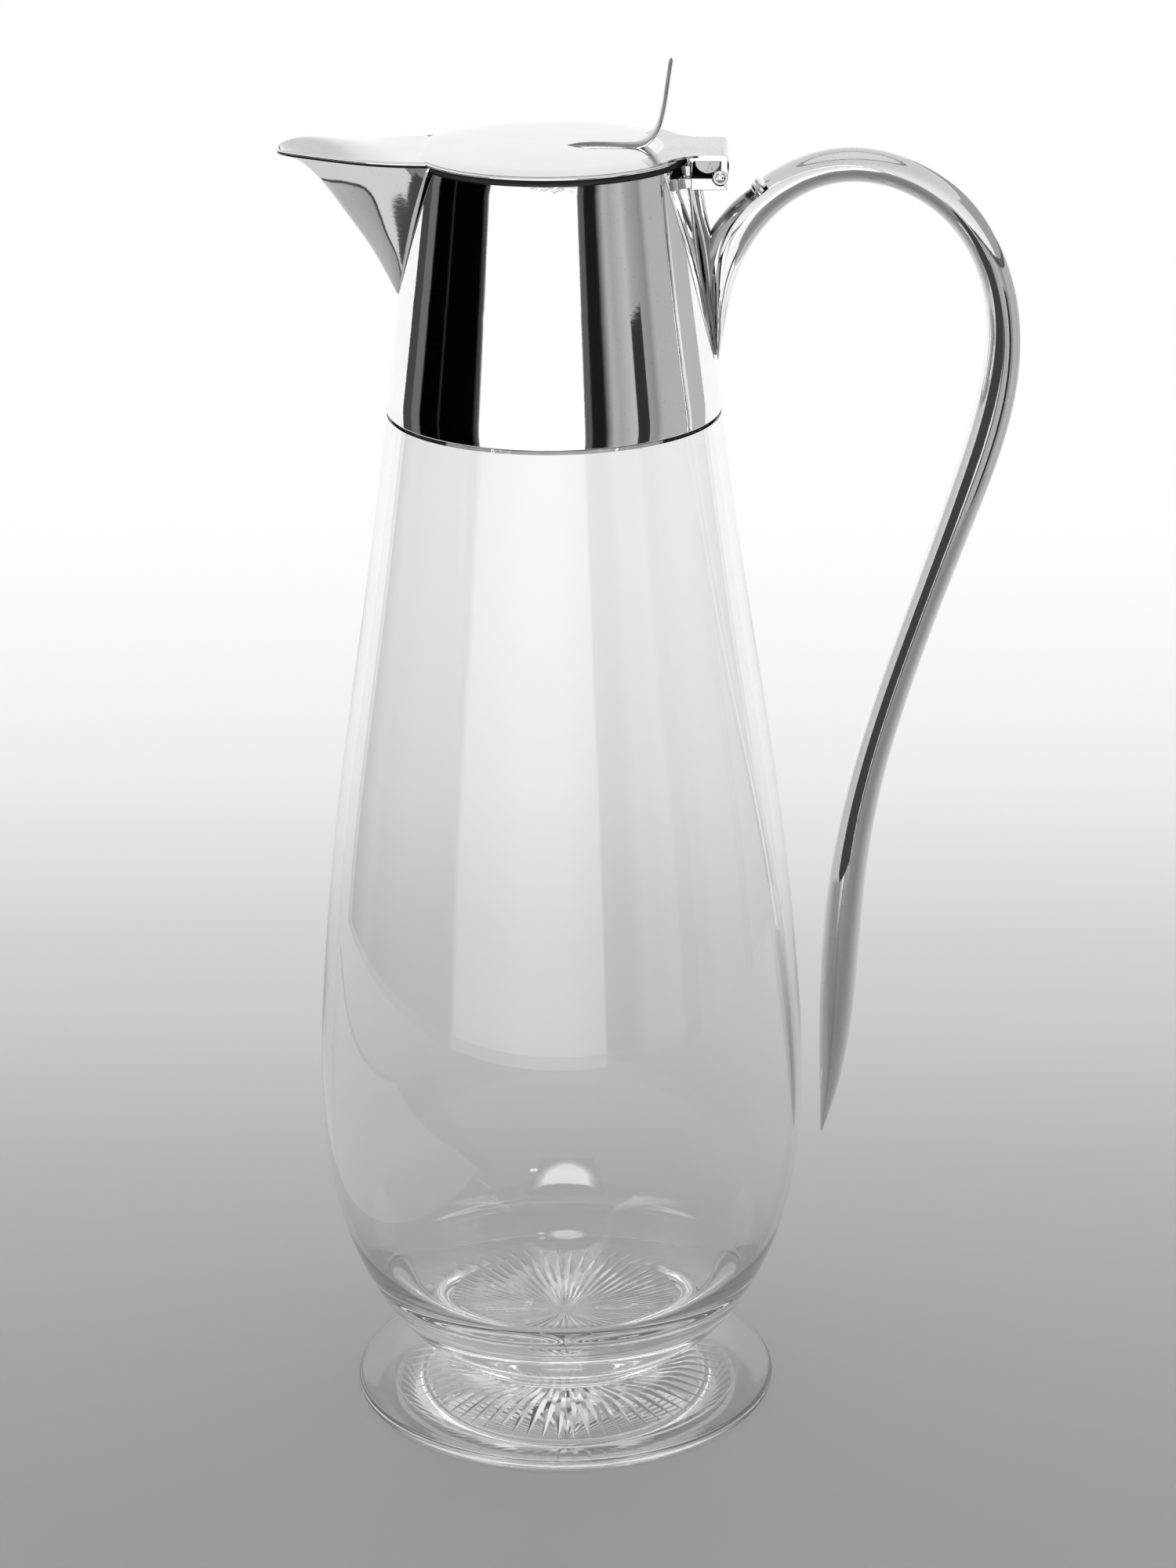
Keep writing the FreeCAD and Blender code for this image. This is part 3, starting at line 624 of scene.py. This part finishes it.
def build_spout():
    """V-shaped sheet spout, as a shell of even thickness open at its top and towards the collar."""
    low = SPOUT_FOOT_Z + SPOUT_POINT
    high = SPOUT_TOP_Z - SEAM_BAND
    heights = [low + (high - low) * i / SPOUT_ROWS for i in range(SPOUT_ROWS + 1)] + [SPOUT_TOP_Z]
    bm = bmesh.new()
    outer = add_grid(bm, [spout_row(z, 0.0) for z in heights])
    inner = add_grid(bm, [spout_row(z, min(SHEET, SPOUT_TAPER * (z - SPOUT_FOOT_Z))) for z in heights])
    for a, b in ((outer[-1], inner[-1]), (outer[0], inner[0])):
        for i in range(len(a) - 1):
            bm.faces.new((a[i], a[i + 1], b[i + 1], b[i]))
    for side in (0, -1):
        for k in range(len(heights) - 1):
            bm.faces.new((outer[k][side], outer[k + 1][side], inner[k + 1][side], inner[k][side]))
    obj = to_object("spout", bm)
    add_piece(obj, "jug", SILVER_COLLAR, "pouring_spout", crease=50)
    # painted shade: the spout's top band under the lid is black
    repaint(obj, SILVER_PAINTED_SHADE, lambda face: face.center.z > (SPOUT_TOP_Z - SEAM_BAND) * MM)


# ---- lid
DOME = 0.45  # height of the lid's slight dome
ROLL_R = 24.0  # the lid's top rolls down outside this radius
ROLL_DROP = 0.35
ROLL_FRONT_X = -28.0  # the beak, in front of this, keeps its own height
DISC_STEPS = 110
LID_COLUMNS = 24
LID_EDGE_STEPS = 10
LEAST_LIMIT = 0.05  # where the lid is narrower than this it has no crest
UNDER_EDGE = (-0.95, -0.3)  # upward share of the normals on the lower half of the lid's edge
# x and height of the arched crest along the beak's middle
CREST = smooth_curve([(-61.0, 0.0), (-60.2, 0.75), (-58.0, 2.0), (-53.5, 2.75), (-46.0, 2.0), (-38.5, 0.7),
                      (-32.0, 0.08), (-26.0, 0.0)], 8)


def lid_half_outline():
    """Plan of the lid's half at positive y, from the beak's nose round the disc to the back."""
    root_x, root_y = BEAK_ROOT
    beak = [(BEAK_NOSE_X + (root_x - BEAK_NOSE_X) * a, root_y * b) for a, b in smooth_curve(OGIVE, 8)]
    start = math.degrees(math.atan2(root_y, root_x))
    return beak + arc((0, 0), LID_R, start, 0, DISC_STEPS)[1:]


def outward_normals(outline):
    """Level unit normals of a closed outline that runs clockwise as seen from above."""
    normals = []
    for i, point in enumerate(outline):
        ahead = Vector(outline[(i + 1) % len(outline)]) - Vector(point)
        behind = Vector(point) - Vector(outline[i - 1])
        run = (ahead.normalized() + behind.normalized()).normalized()
        normals.append((-run.y, run.x))
    return normals


def lid_top_z(x, y, limit):
    """Height of the lid's top, where the lid reaches out to y = limit."""
    reach = math.hypot(x, y)
    dome = DOME * max(0.0, 1 - (reach / LID_R) ** 2)
    if x > ROLL_FRONT_X and reach > ROLL_R:
        dome += ROLL_DROP * (1 - ((reach - ROLL_R) / (LID_R - ROLL_R)) ** 2)
    elif x > ROLL_FRONT_X:
        dome += ROLL_DROP
    arch = 0.0
    if limit > LEAST_LIMIT:
        arch = between(CREST, x) * max(0.0, 1 - (y / limit) ** 2)
    return LID_TOP_Z + dome + arch


def build_lid():
    """Flat lid with its beak: an arched crest over the spout, a slight dome and a rounded edge."""
    edge = LID_PLATE / 2
    half = lid_half_outline()
    outline = half + [(x, -y) for x, y in reversed(half[1:-1])]
    normals = outward_normals(outline)

    def plate_rows(z_of):
        rows = []
        for i in range(len(half)):
            x = outline[i][0] - normals[i][0] * edge
            limit = outline[i][1] - normals[i][1] * edge
            if i in (0, len(half) - 1):
                limit = 0.0
            across = [limit * (1 - 2 * j / LID_COLUMNS) for j in range(LID_COLUMNS + 1)]
            rows.append([(x, y, z_of(x, y, limit)) for y in across])
        return rows

    bm = bmesh.new()
    add_grid(bm, plate_rows(lid_top_z))
    add_grid(bm, plate_rows(lambda x, y, limit: LID_UNDER_Z))
    rows = []
    for a, b in arc((0, LID_UNDER_Z + edge), edge, 90, -90, LID_EDGE_STEPS):
        rows.append([(x + nx * (a - edge), y + ny * (a - edge), b)
                     for (x, y), (nx, ny) in zip(outline, normals)])
    add_grid(bm, rows, wrap_columns=True)
    obj = to_object("lid", bm, merge=0.003)
    add_piece(obj, "lid", SILVER_LID, "lid_plate", crease=40)
    # painted shade: the lower half of the lid's edge is black, for the shadow under it
    repaint(obj, SILVER_PAINTED_SHADE, lambda face: UNDER_EDGE[0] < face.normal.z < UNDER_EDGE[1])


def build_leaf():
    """Hinge leaf on the lid, with its turned-down tab over the hinge."""
    obj = bevelled_copy("hinge_leaf", "lid_hinge_leaf", 0.16)
    add_piece(obj, "lid", SILVER_LEAF, "lid_hinge_leaf")


THUMB_BASE = LID_TOP_Z + 0.45
THUMB_COLUMNS = 24
THUMB_SQUARE = 0.8  # power that squares up its section
# x, z of the middle above that base, half-width, half-thickness
THUMB = [(3.0, 0.1, 0.2, 0.12), (6.0, 0.3, 0.9, 0.55), (9.5, 0.35, 1.2, 0.7), (13.5, 0.25, 1.6, 0.72),
         (17.5, 0.2, 2.3, 0.66), (20.6, 0.9, 3.2, 0.58), (23.1, 3.5, 3.9, 0.56), (24.6, 7.8, 4.0, 0.56),
         (25.6, 13.8, 3.5, 0.54), (26.2, 17.8, 2.5, 0.5), (26.4, 19.0, 1.3, 0.4), (26.45, 19.5, 0.2, 0.12)]


def build_thumb_piece():
    """Thumb piece: one strap that rises from the leaf's point and turns up into a thin blade."""
    line = smooth_curve([(x, THUMB_BASE + z, half, thick) for x, z, half, thick in THUMB], 10)
    rows = []
    for (x, z, half, thick), run in zip(line, runs_along(line)):
        up = Vector((-run.z, 0, run.x))
        centre = Vector((x, 0, z))
        points = []
        for k in range(THUMB_COLUMNS):
            angle = 2 * math.pi * k / THUMB_COLUMNS
            flat = signed_power(math.sin(angle), THUMB_SQUARE)
            wide = signed_power(math.cos(angle), THUMB_SQUARE)
            points.append(centre + up * (thick * flat) + Vector((0, half * wide, 0)))
        rows.append(points)
    add_piece(tube("thumb_blade", rows), "lid", SILVER_THUMB, "thumb_piece", crease=60)


# ---- handle
# x, z of the centre line, thickness in the handle's plane, width across it
HANDLE = [
    (61.35, 65.0, 0.5, 0.6), (62.9, 76.0, 4.1, 4.0), (63.9, 87.2, 6.6, 6.6), (64.6, 98.5, 8.0, 8.2),
    (65.3, 111.0, 8.6, 9.0), (67.2, 133.3, 8.4, 9.0), (71.4, 156.1, 7.7, 8.6), (77.7, 178.3, 7.4, 8.4),
    (84.9, 200.0, 7.5, 8.6), (92.3, 221.5, 8.3, 9.2), (98.4, 242.9, 8.7, 9.6), (99.5, 264.5, 7.6, 9.4),
    (91.9, 283.5, 7.1, 9.2), (75.3, 295.2, 7.4, 9.2), (62.0, 296.3, 7.7, 9.4), (50.6, 291.8, 8.2, 9.6),
    (40.6, 281.2, 8.6, 9.6), (37.5, 270.5, 5.8, 8.6), (36.95, 263.2, 3.7, 6.4), (36.75, 257.8, 2.2, 4.0),
    (36.6, 252.8, 0.5, 0.8),
]
HANDLE_STEPS = 14  # slices for each station above
NOTCH = Vector((46.3, 0, 289.3))
# station of the handle, seam's place as a share of the half-thickness outwards
SEAM = [(0, 0.0), (13, 0.0), (15, 0.45), (17, 0.5), (20, 0.2)]
SEAM_RIDGE = math.cos(math.radians(77))  # each half-shell is an arc of 77 degrees a side: a slight ridge
SEAM_LIP = 0.12  # rounding of a half-shell's edges at the seam
LIP_SHARE = 0.3  # at most this share of the wall, which is at most the next share of the half-thickness
SHELL_SHARE = 0.45
THIN = 0.3  # half-thickness below which the rounding's angle grows no further
# height, how far the tongue stands out beyond the shell's section towards the collar
TONGUE_LIFT = [(255.0, 0.4), (262.0, 1.3), (270.0, 1.9), (279.0, 1.7), (284.0, 0.7), (288.0, 0.0)]
TONGUE_GAP = 0.42  # the tongue lies this far below the shell's skin, or less where that is thin
TONGUE_SHARE = 0.3
# the cap's steps: distance before the notch, growth of the section; a bead, a groove and a bevelled face
NOTCH_CAP = [(2.5, -0.9), (2.45, 0.1), (2.3, 0.25), (1.85, 0.28), (1.65, 0.1), (1.6, -0.55), (1.2, -0.6),
             (1.15, -0.05), (1.0, 0.08), (0.55, 0.05), (0.4, -0.1), (-0.5, -1.3), (-0.6, -1.6)]


def handle_stations():
    """Centre, run, outward direction, half-thickness, half-width and seam share along the handle."""
    line = smooth_curve(HANDLE, HANDLE_STEPS)
    stations = []
    for i, ((x, z, thick, width), run) in enumerate(zip(line, runs_along(line))):
        outward = Vector((run.z, 0, -run.x))
        seam = between(SEAM, i / HANDLE_STEPS)
        stations.append((Vector((x, 0, z)), run, outward, thick / 2, width / 2, seam))
    return stations


def section_offset(station, angle, grow):
    """Offset of the handle's skin from its centre line, at an angle from outwards in radians."""
    _, _, outward, thick, wide, _ = station
    reach = abs(math.cos(angle)) * (1 - SEAM_RIDGE) + SEAM_RIDGE
    across = math.sqrt(max(0.0, 1 - reach * reach) / (1 - SEAM_RIDGE ** 2))
    return (outward * ((thick + grow) * math.cos(angle))
            + Vector((0, math.copysign((wide + grow) * across, math.sin(angle)), 0)))


def shell_row(station, start, end, steps=36):
    """Closed C-shaped slice of one half-shell, with its edges slightly rounded at the seam."""
    centre, thick = station[0], station[3]
    wall = min(SHEET, SHELL_SHARE * thick)
    lip = min(SEAM_LIP, wall * LIP_SHARE)
    slope = lip / max(thick, THIN)
    angles = [start + slope + (end - start - 2 * slope) * i / steps for i in range(steps + 1)]

    def at(angle, inset):
        return centre + section_offset(station, angle, -inset)

    points = [at(start, lip)] + [at(a, 0.0) for a in angles] + [at(end, lip)]
    points += [at(end, wall)] + [at(a, wall) for a in reversed(angles)] + [at(start, wall)]
    return [off_collar(p) for p in points]


def half_row(station, centre, grow, lift=0.0, steps=28):
    """Closed slice of the handle's outer half, as a solid, grown all round and lifted outwards."""
    limit = math.acos(station[5])
    points = []
    for i in range(steps + 1):
        angle = -limit + 2 * limit * i / steps
        rise = station[2] * (lift * math.cos(angle))
        points.append(centre + section_offset(station, angle, grow) + rise)
    return [off_collar(p) for p in points]


def build_handle():
    """Two half-shells soldered along a seam; the outer one stops at the notch."""
    stations = handle_stations()
    notch = min(range(len(stations)), key=lambda i: (stations[i][0] - NOTCH).length)
    outer_rows = []
    inner_rows = []
    for station in stations:
        seam_angle = math.acos(station[5])
        outer_rows.append(shell_row(station, -seam_angle, seam_angle))
        inner_rows.append(shell_row(station, seam_angle, 2 * math.pi - seam_angle))
    outer = tube("handle_outer", outer_rows[:notch - 2])
    add_piece(outer, "jug", SILVER_HANDLE, "handle_outer_shell")
    inner = tube("handle_inner", inner_rows)
    add_piece(inner, "jug", SILVER_HANDLE, "handle_inner_shell")
    build_notch_cap(stations[notch])
    build_tongue(stations[notch - 1:-3])


def build_notch_cap(station):
    """Stepped end of the outer shell."""
    centre, run = station[0], station[1]
    rows = [half_row(station, centre - run * back, grow) for back, grow in NOTCH_CAP]
    add_piece(tube("handle_cap", rows), "jug", SILVER_HINGE, "handle_notch_cap")


def build_tongue(stations):
    """Tongue that fills the inner shell's trough from the notch down to the collar."""
    rows = []
    for station in stations:
        lift = between(TONGUE_LIFT, station[0].z)
        rows.append(half_row(station, station[0], -min(TONGUE_GAP, station[3] * TONGUE_SHARE), lift))
    add_piece(tube("tongue", rows), "jug", SILVER_BRACE, "handle_tongue")


# ---- hinge
# x, z of the strap's middle, half-width, half-thickness
STRAP = [(31.0, 293.0, 3.9, 2.2), (31.4, 290.5, 3.8, 2.1), (32.2, 286.5, 3.7, 1.9), (33.2, 282.5, 3.6, 1.7),
         (34.0, 278.5, 3.4, 1.5), (34.8, 272.0, 3.0, 1.3), (35.4, 265.0, 2.4, 1.0), (36.0, 258.0, 1.2, 0.5),
         (36.3, 255.0, 0.3, 0.2)]
STRAP_COLUMNS = 28
STRAP_SQUARE = 0.75
# painted shade: the darker silver of block, barrels and lugs and the bracket's black barrel stand in for the
# deep shade in the hinge
# name, CAD node, width of the rounding, material
HINGE_FIXED = [
    ("bracket", "hinge_bracket", 0.2, SILVER_HINGE),
    ("bracket_block", "hinge_block", 0.18, SILVER_BRACE),
    ("bracket_barrel", "bracket_knuckle", 0.1, SILVER_PAINTED_SHADE),
    ("pin", "hinge_pin", 0.05, SILVER_LID),
]
HINGE_MOVING = [
    ("lugs", "lid_lugs", 0.18, SILVER_LUG),
    ("lid_barrels", "lid_knuckles", 0.12, SILVER_BRACE),
]


def build_strap():
    """Strap from under the bracket down to the handle's crotch, rounded across."""
    line = smooth_curve(STRAP, 8)
    rows = []
    for (x, z, half, thick), run in zip(line, runs_along(line)):
        out = Vector((-run.z, 0, run.x))
        points = []
        for k in range(STRAP_COLUMNS):
            angle = 2 * math.pi * k / STRAP_COLUMNS
            wide = signed_power(math.sin(angle), STRAP_SQUARE)
            points.append(off_collar(Vector((x, 0, z)) + out * (thick * math.cos(angle))
                                     + Vector((0, half * wide, 0))))
        rows.append(points)
    add_piece(tube("brace_strap", rows), "jug", SILVER_BRACE, "hinge_strap")


def build_hinge():
    """Bevelled copies of the small hinge pieces."""
    for body, members in (("jug", HINGE_FIXED), ("lid", HINGE_MOVING)):
        for name, node, width, material in members:
            obj = bevelled_copy(name, node, width)
            add_piece(obj, body, material, node)
            # painted shade: the bracket's level top, under the leaf's tab, is black
            if name == "bracket":
                repaint(obj, SILVER_PAINTED_SHADE, lambda face: face.normal.z > 0.9)


def dress_hidden_nodes():
    """The CAD nodes that stay as they are get their materials."""
    finishes = {"neck_plaster": (PLASTER, "plaster"), "mouth_liner": (SILVER_HINGE, "silver"),
                "lid_bezel": (SILVER_LID, "silver")}
    for node, (material, slot) in finishes.items():
        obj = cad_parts[node]
        obj.data.materials.clear()
        obj.data.materials.append(material)


# ---- studio
# distance from the table's darkest point in metres, brightness of the table there
TABLE_TONES = [(0.0, 0.325), (0.04, 0.337), (0.08, 0.359), (0.12, 0.389), (0.165, 0.423), (0.213, 0.462),
               (0.265, 0.524), (0.32, 0.597), (0.38, 0.650), (0.448, 0.745), (0.52, 0.840), (0.60, 0.900),
               (0.69, 0.955), (0.79, 0.985), (0.92, 1.0)]
TABLE_DARK_Y = -0.10  # metres
TABLE_REACH = 1.0  # metres that the whole ramp of those tones stands for
TABLE_SIDE = 0.35  # a step sideways counts for this share of one backwards
TABLE_DIM_Y = (-0.16, 0.05)  # metres; painted shade: in front of the jug the table is darker where the silver reflects it
TABLE_DIM = 0.4
TABLE_HALF = 9000.0  # millimetres, as is the height
TABLE_Z = -0.05
SHADOW_SHARE = 0.35  # share of the table's look that comes from the light falling on it


def build_table():
    """Pale table whose brightening with distance is painted light; it shines mostly by its own light so that
    shadows stay soft.
    """
    bm = bmesh.new()
    for x, y in ((-1, -1), (1, -1), (1, 1), (-1, 1)):
        bm.verts.new((x * TABLE_HALF, y * TABLE_HALF, TABLE_Z))
    bm.faces.new(bm.verts)
    table = to_object("table", bm)
    shader = new_shader("pale_table")
    x, y, _ = shader.split_place()
    side = shader.times(x, TABLE_SIDE)
    depth = shader.minus(y, TABLE_DARK_Y)
    distance = shader.maths("SQRT", shader.plus(shader.times(side, side), shader.times(depth, depth)))
    tone = shader.ramp(shader.maths("DIVIDE", distance, TABLE_REACH),
                       [(d / TABLE_REACH, grey) for d, grey in TABLE_TONES])
    near = shader.fade(y, TABLE_DIM_Y, TABLE_DIM, 1.0)
    dim = shader.times(shader.rays()["Is Glossy Ray"], shader.minus(1.0, near))
    glow = shader.glow(shader.minus(1.0, dim), tone)
    matt = shader.add("BsdfDiffuse", {"Color": tone}).outputs[0]
    table.data.materials.append(shader.finish(shader.mix(SHADOW_SHARE, glow, matt)))


def hang(obj, material, in_glass=False):
    """Gives a card or lamp its material and hides it from all but reflections; with in_glass, views through
    glass see it too.
    """
    obj.data.materials.append(material)
    obj.visible_camera = False
    obj.visible_diffuse = False
    obj.visible_shadow = False
    obj.visible_volume_scatter = False
    obj.visible_transmission = in_glass


CARD_R = 450.0  # the cards stand in a ring round the jug
CARD_HIGH = 317.0
CARD_TOP = 340.0  # a dark border runs above the cards
BORDER_TONE = 0.25
HAZE_TONE = 0.6  # what rays see of the cards after many bounces in the glass
HAZE_BOUNCES = 3.5  # rays with more bounces than this see that tone
CLEAR_BOUNCES = 2.5  # and so do rays out of the glass with fewer bounces than this
# angle from +X in degrees, brightness of the ring of cards at that angle
CARD_TONES = [
    (150.0, 0.06), (161.0, 0.06), (162.0, 0.15), (170.5, 0.15), (171.5, 0.0), (189.0, 0.0), (190.0, 0.035),
    (191.0, 0.0), (218.0, 0.0), (219.5, 0.05), (222.0, 0.06), (222.6, 1.1), (240.0, 1.4), (255.0, 1.7),
    (275.0, 1.7), (292.4, 1.25), (293.0, 0.11), (297.5, 0.10), (298.0, 0.01), (306.5, 0.01), (313.0, 0.45),
    (318.0, 0.38), (328.0, 0.52), (333.0, 0.38), (345.0, 0.27), (350.0, 0.45), (371.0, 0.46), (373.0, 0.2),
    (374.5, 0.5), (396.0, 0.48),
]
# the same for the handle, which sees the far side of the ring from further away than anything else
FAR_TONES = [(150.0, 0.45), (200.0, 0.5), (246.0, 0.7), (262.0, 1.0), (396.0, 0.95)]
FAR_LENGTH = 0.46  # length of ray, in metres, from which the far tones hold
CARD_START, CARD_END = CARD_TONES[0][0], CARD_TONES[-1][0]
CARD_BREAK = CARD_START - 50  # angles below this have a full turn added
# name, material, first and last angle, low, high, radius, brightness
MORE_CARDS = [
    ("card_post", "post_black", 329.5, 338.5, 0.0, 262.0, CARD_R - 10, 0.03),
    ("card_high", "card_high_tone", 345.0, 420.0, CARD_TOP, 560.0, CARD_R, 0.36),
]


def curved_card(name, start, end, low, high, radius):
    """Upright sheet bent round the jug's axis between two angles in degrees."""
    steps = max(2, int((end - start) / 2))
    bm = bmesh.new()
    add_grid(bm, [[(x, y, z) for x, y in arc((0, 0), radius, start, end, steps)] for z in (low, high)])
    return to_object(name, bm)


def ring_material():
    """Grey, black and white cards by angle; nothing of them shows straight through the glass."""
    shader = new_shader("card_tones")
    x, y, z = shader.split_place()
    turn = shader.maths("ARCTAN2", shader.times(y, -1.0), shader.times(x, -1.0))
    degrees = shader.plus(shader.times(turn, 180 / math.pi), 180.0)
    wrapped = shader.plus(degrees, shader.times(shader.below(degrees, CARD_BREAK), 360.0))
    share = shader.maths("DIVIDE", shader.minus(wrapped, CARD_START), CARD_END - CARD_START)
    near, far = [shader.ramp(share, [((angle - CARD_START) / (CARD_END - CARD_START), grey)
                                     for angle, grey in table]) for table in (CARD_TONES, FAR_TONES)]
    rays = shader.rays()
    is_far = shader.above(rays["Ray Length"], FAR_LENGTH)
    tone = shader.add("Mix", {"Factor": is_far, "A": near, "B": far}, data_type="RGBA").outputs["Result"]
    border = shader.times(shader.above(z, CARD_HIGH * MM), 1 - BORDER_TONE)
    glow = shader.glow(shader.minus(1.0, border), tone)
    bounced = shader.above(rays["Ray Depth"], HAZE_BOUNCES)
    straight = shader.times(shader.below(rays["Ray Depth"], CLEAR_BOUNCES), rays["Is Transmission Ray"])
    hazy = shader.maths("ADD", bounced, straight, clamp=True)
    seen = shader.mix(hazy, glow, shader.glow(HAZE_TONE))
    through = shader.times(rays["Is Transmission Ray"], shader.below(rays["Glossy Depth"], 0.5))
    return shader.finish(shader.mix(through, seen, shader.clear()))


def build_cards():
    """Ring of cards, a dark post in front of it and a grey card above it on the right."""
    ring_of_cards = curved_card("card_ring", CARD_START, CARD_END, 0.0, CARD_TOP, CARD_R)
    hang(ring_of_cards, ring_material(), in_glass=True)
    for name, material, start, end, low, high, radius, tone in MORE_CARDS:
        hang(curved_card(name, start, end, low, high, radius), glow_material(material, tone))


# papers on the table that only the silver reflects: brightness, height, corners
PAPERS = {
    "paper_light": (0.66, 0.5, [(-311, -215), (-120, -215), (-120, 230), (-311, 230)]),
    "paper_edge": (0.05, 0.5, [(-320, -215), (-311, -215), (-311, 230), (-320, 230)]),
    # painted shade: the dark patch stands in for the collar's shade reflected in the spout
    "painted_shade_patch": (0.06, 1.0, [(-311, -82), (-288, -98), (-226, -143), (-165, -182), (-100, -193),
                               (-100, -215), (-311, -215)]),
}


def build_papers():
    """Light paper with a dark edge, and on it a dark curved patch of painted shade, beside the spout."""
    for name, (tone, height, corners) in PAPERS.items():
        bm = bmesh.new()
        bm.faces.new([bm.verts.new((x, y, height)) for x, y in corners])
        hang(to_object(name, bm), glow_material(name + "_tone", tone))


# painted shade: dark card between jug and handle, seen from the handle's side only, darkening the handle's
# inner shell in reflections
HANDLE_CARD_GAP = 14.0  # from the handle's centre line towards the jug
HANDLE_CARD_Y = (-34.0, -9.0)
HANDLE_CARD_Z = (125.0, 264.0)
HANDLE_CARD_LAST = 13  # the last of the handle's stations that it follows
HANDLE_CARD_RISE = 25.0  # it goes on this far, straight up
HANDLE_SHADE_TONE = (0.05, 0.05, 0.05, 1)


def build_handle_card():
    """Follows the handle's line; the silver sees its front, everything else sees through its back."""
    line = [(x, z) for x, z, _, _ in smooth_curve(HANDLE, HANDLE_STEPS)[:HANDLE_CARD_LAST * HANDLE_STEPS]
            if HANDLE_CARD_Z[0] < z < HANDLE_CARD_Z[1]]
    line.append((line[-1][0], line[-1][1] + HANDLE_CARD_RISE))
    bm = bmesh.new()
    add_grid(bm, [[(x - HANDLE_CARD_GAP, y, z) for y in HANDLE_CARD_Y] for x, z in line])
    for face in bm.faces:
        face.normal_update()
        if face.normal.x < 0:
            face.normal_flip()
    shader = new_shader("handle_painted_shade")
    back = shader.add("NewGeometry").outputs["Backfacing"]
    material = shader.finish(shader.mix(back, shader.glow(1.0, HANDLE_SHADE_TONE), shader.clear()))
    hang(to_object("handle_card", bm, outward=False), material)


# name, centre, half-width, half-height, strength
LAMPS = [("softbox", (0, -540, 1140), 330, 560, 75.0), ("lamp_small", (300, -620, 860), 45, 45, 150.0)]


def lamp_material(name, strength):
    """Light that fades towards its rim and shows in the glass only, after the ray has passed a wall."""
    shader = new_shader(name)
    inside = shader.above(shader.rays()["Ray Depth"], 1.5)
    away = shader.add("VectorMath", {0: shader.place()}, operation="LENGTH").outputs["Value"]
    fade = shader.maths("POWER", shader.maths("SUBTRACT", 1.0, away, clamp=True), 2.0)
    return shader.finish(shader.mix(inside, shader.clear(), shader.glow(shader.times(fade, strength))))


def build_lamps():
    """Softbox above the camera side and a small lamp, seen as highlights in the glass."""
    for name, centre, half_width, half_height, strength in LAMPS:
        bm = bmesh.new()
        bm.faces.new([bm.verts.new((x / MM, y / MM, 0)) for x, y in ((-1, -1), (1, -1), (1, 1), (-1, 1))])
        lamp = to_object(name, bm)
        turn = Vector(centre).to_track_quat("Z", "Y").to_matrix().to_4x4()
        size = Matrix.Diagonal((half_width * MM, half_height * MM, 1.0, 1.0))
        lamp.matrix_world = Matrix.Translation(Vector(centre) * MM) @ turn @ size
        hang(lamp, lamp_material(name + "_light", strength), in_glass=True)


# upward share of a direction, brightness of the tent as the silver reflects it
TENT_TONES = [(0.0, 1.0), (0.2, 0.93), (0.34, 0.84), (0.45, 0.80), (0.66, 0.66), (0.85, 0.62), (0.95, 0.68),
              (1.0, 0.74)]
TENT_SEAM = (0.90, 0.012)  # the tent's thin seam: upward share and half-width
TENT_SEAM_DARKER = 0.55


def build_world():
    """White tent all round, greyer overhead in reflections."""
    world = bpy.data.worlds.new("tent")
    bpy.context.scene.world = world
    shader = Shader(world)
    _, _, up = shader.split_place("Generated")
    away = shader.maths("ABSOLUTE", shader.minus(up, TENT_SEAM[0]))
    seam = shader.times(shader.below(away, TENT_SEAM[1]), TENT_SEAM_DARKER)
    tone = shader.times(shader.ramp(up, TENT_TONES), shader.minus(1.0, seam))
    dark = shader.times(shader.rays()["Is Glossy Ray"], shader.minus(1.0, tone))
    light = shader.add("Background", {"Color": WHITE, "Strength": shader.minus(1.0, dark)})
    shader.finish(light.outputs[0], "OutputWorld")


# camera: place in millimetres and direction in the part's frame
CAMERA_PLACE = Vector((48.456, -954.427, 497.925))
CAMERA_YAW = math.radians(2.5)
CAMERA_PITCH = math.radians(19.91)
CAMERA_ROLL = math.radians(-0.55)
CAMERA_LENS = 101.04
CAMERA_SENSOR = 36.0  # side of the sensor that spans the picture's height


def build_camera():
    """Long lens that looks slightly down on the jug, with the spout on the left."""
    data = bpy.data.cameras.new("camera")
    data.sensor_fit = "VERTICAL"
    data.sensor_height = CAMERA_SENSOR
    data.lens = CAMERA_LENS
    data.clip_start = 0.01
    data.clip_end = 50.0
    camera = bpy.data.objects.new("camera", data)
    bpy.context.scene.collection.objects.link(camera)
    flat = math.cos(CAMERA_PITCH)
    view = Vector((-math.sin(CAMERA_YAW) * flat, math.cos(CAMERA_YAW) * flat, -math.sin(CAMERA_PITCH)))
    right = Vector((math.cos(CAMERA_YAW), math.sin(CAMERA_YAW), 0))
    down = view.cross(right)
    turned_right = right * math.cos(CAMERA_ROLL) - down * math.sin(CAMERA_ROLL)
    turned_down = right * math.sin(CAMERA_ROLL) + down * math.cos(CAMERA_ROLL)
    axes = Matrix((turned_right, -turned_down, -view)).transposed().to_4x4()
    axes.translation = CAMERA_PLACE * MM
    camera.matrix_world = axes
    bpy.context.scene.camera = camera


build_glass()
build_collar()
build_rim_wire()
build_spout()
build_lid()
build_leaf()
build_thumb_piece()
build_handle()
build_strap()
build_hinge()
dress_hidden_nodes()
build_table()
build_cards()
build_papers()
build_handle_card()
build_lamps()
build_world()
build_camera()
bpy.context.scene.view_settings.view_transform = "Standard"
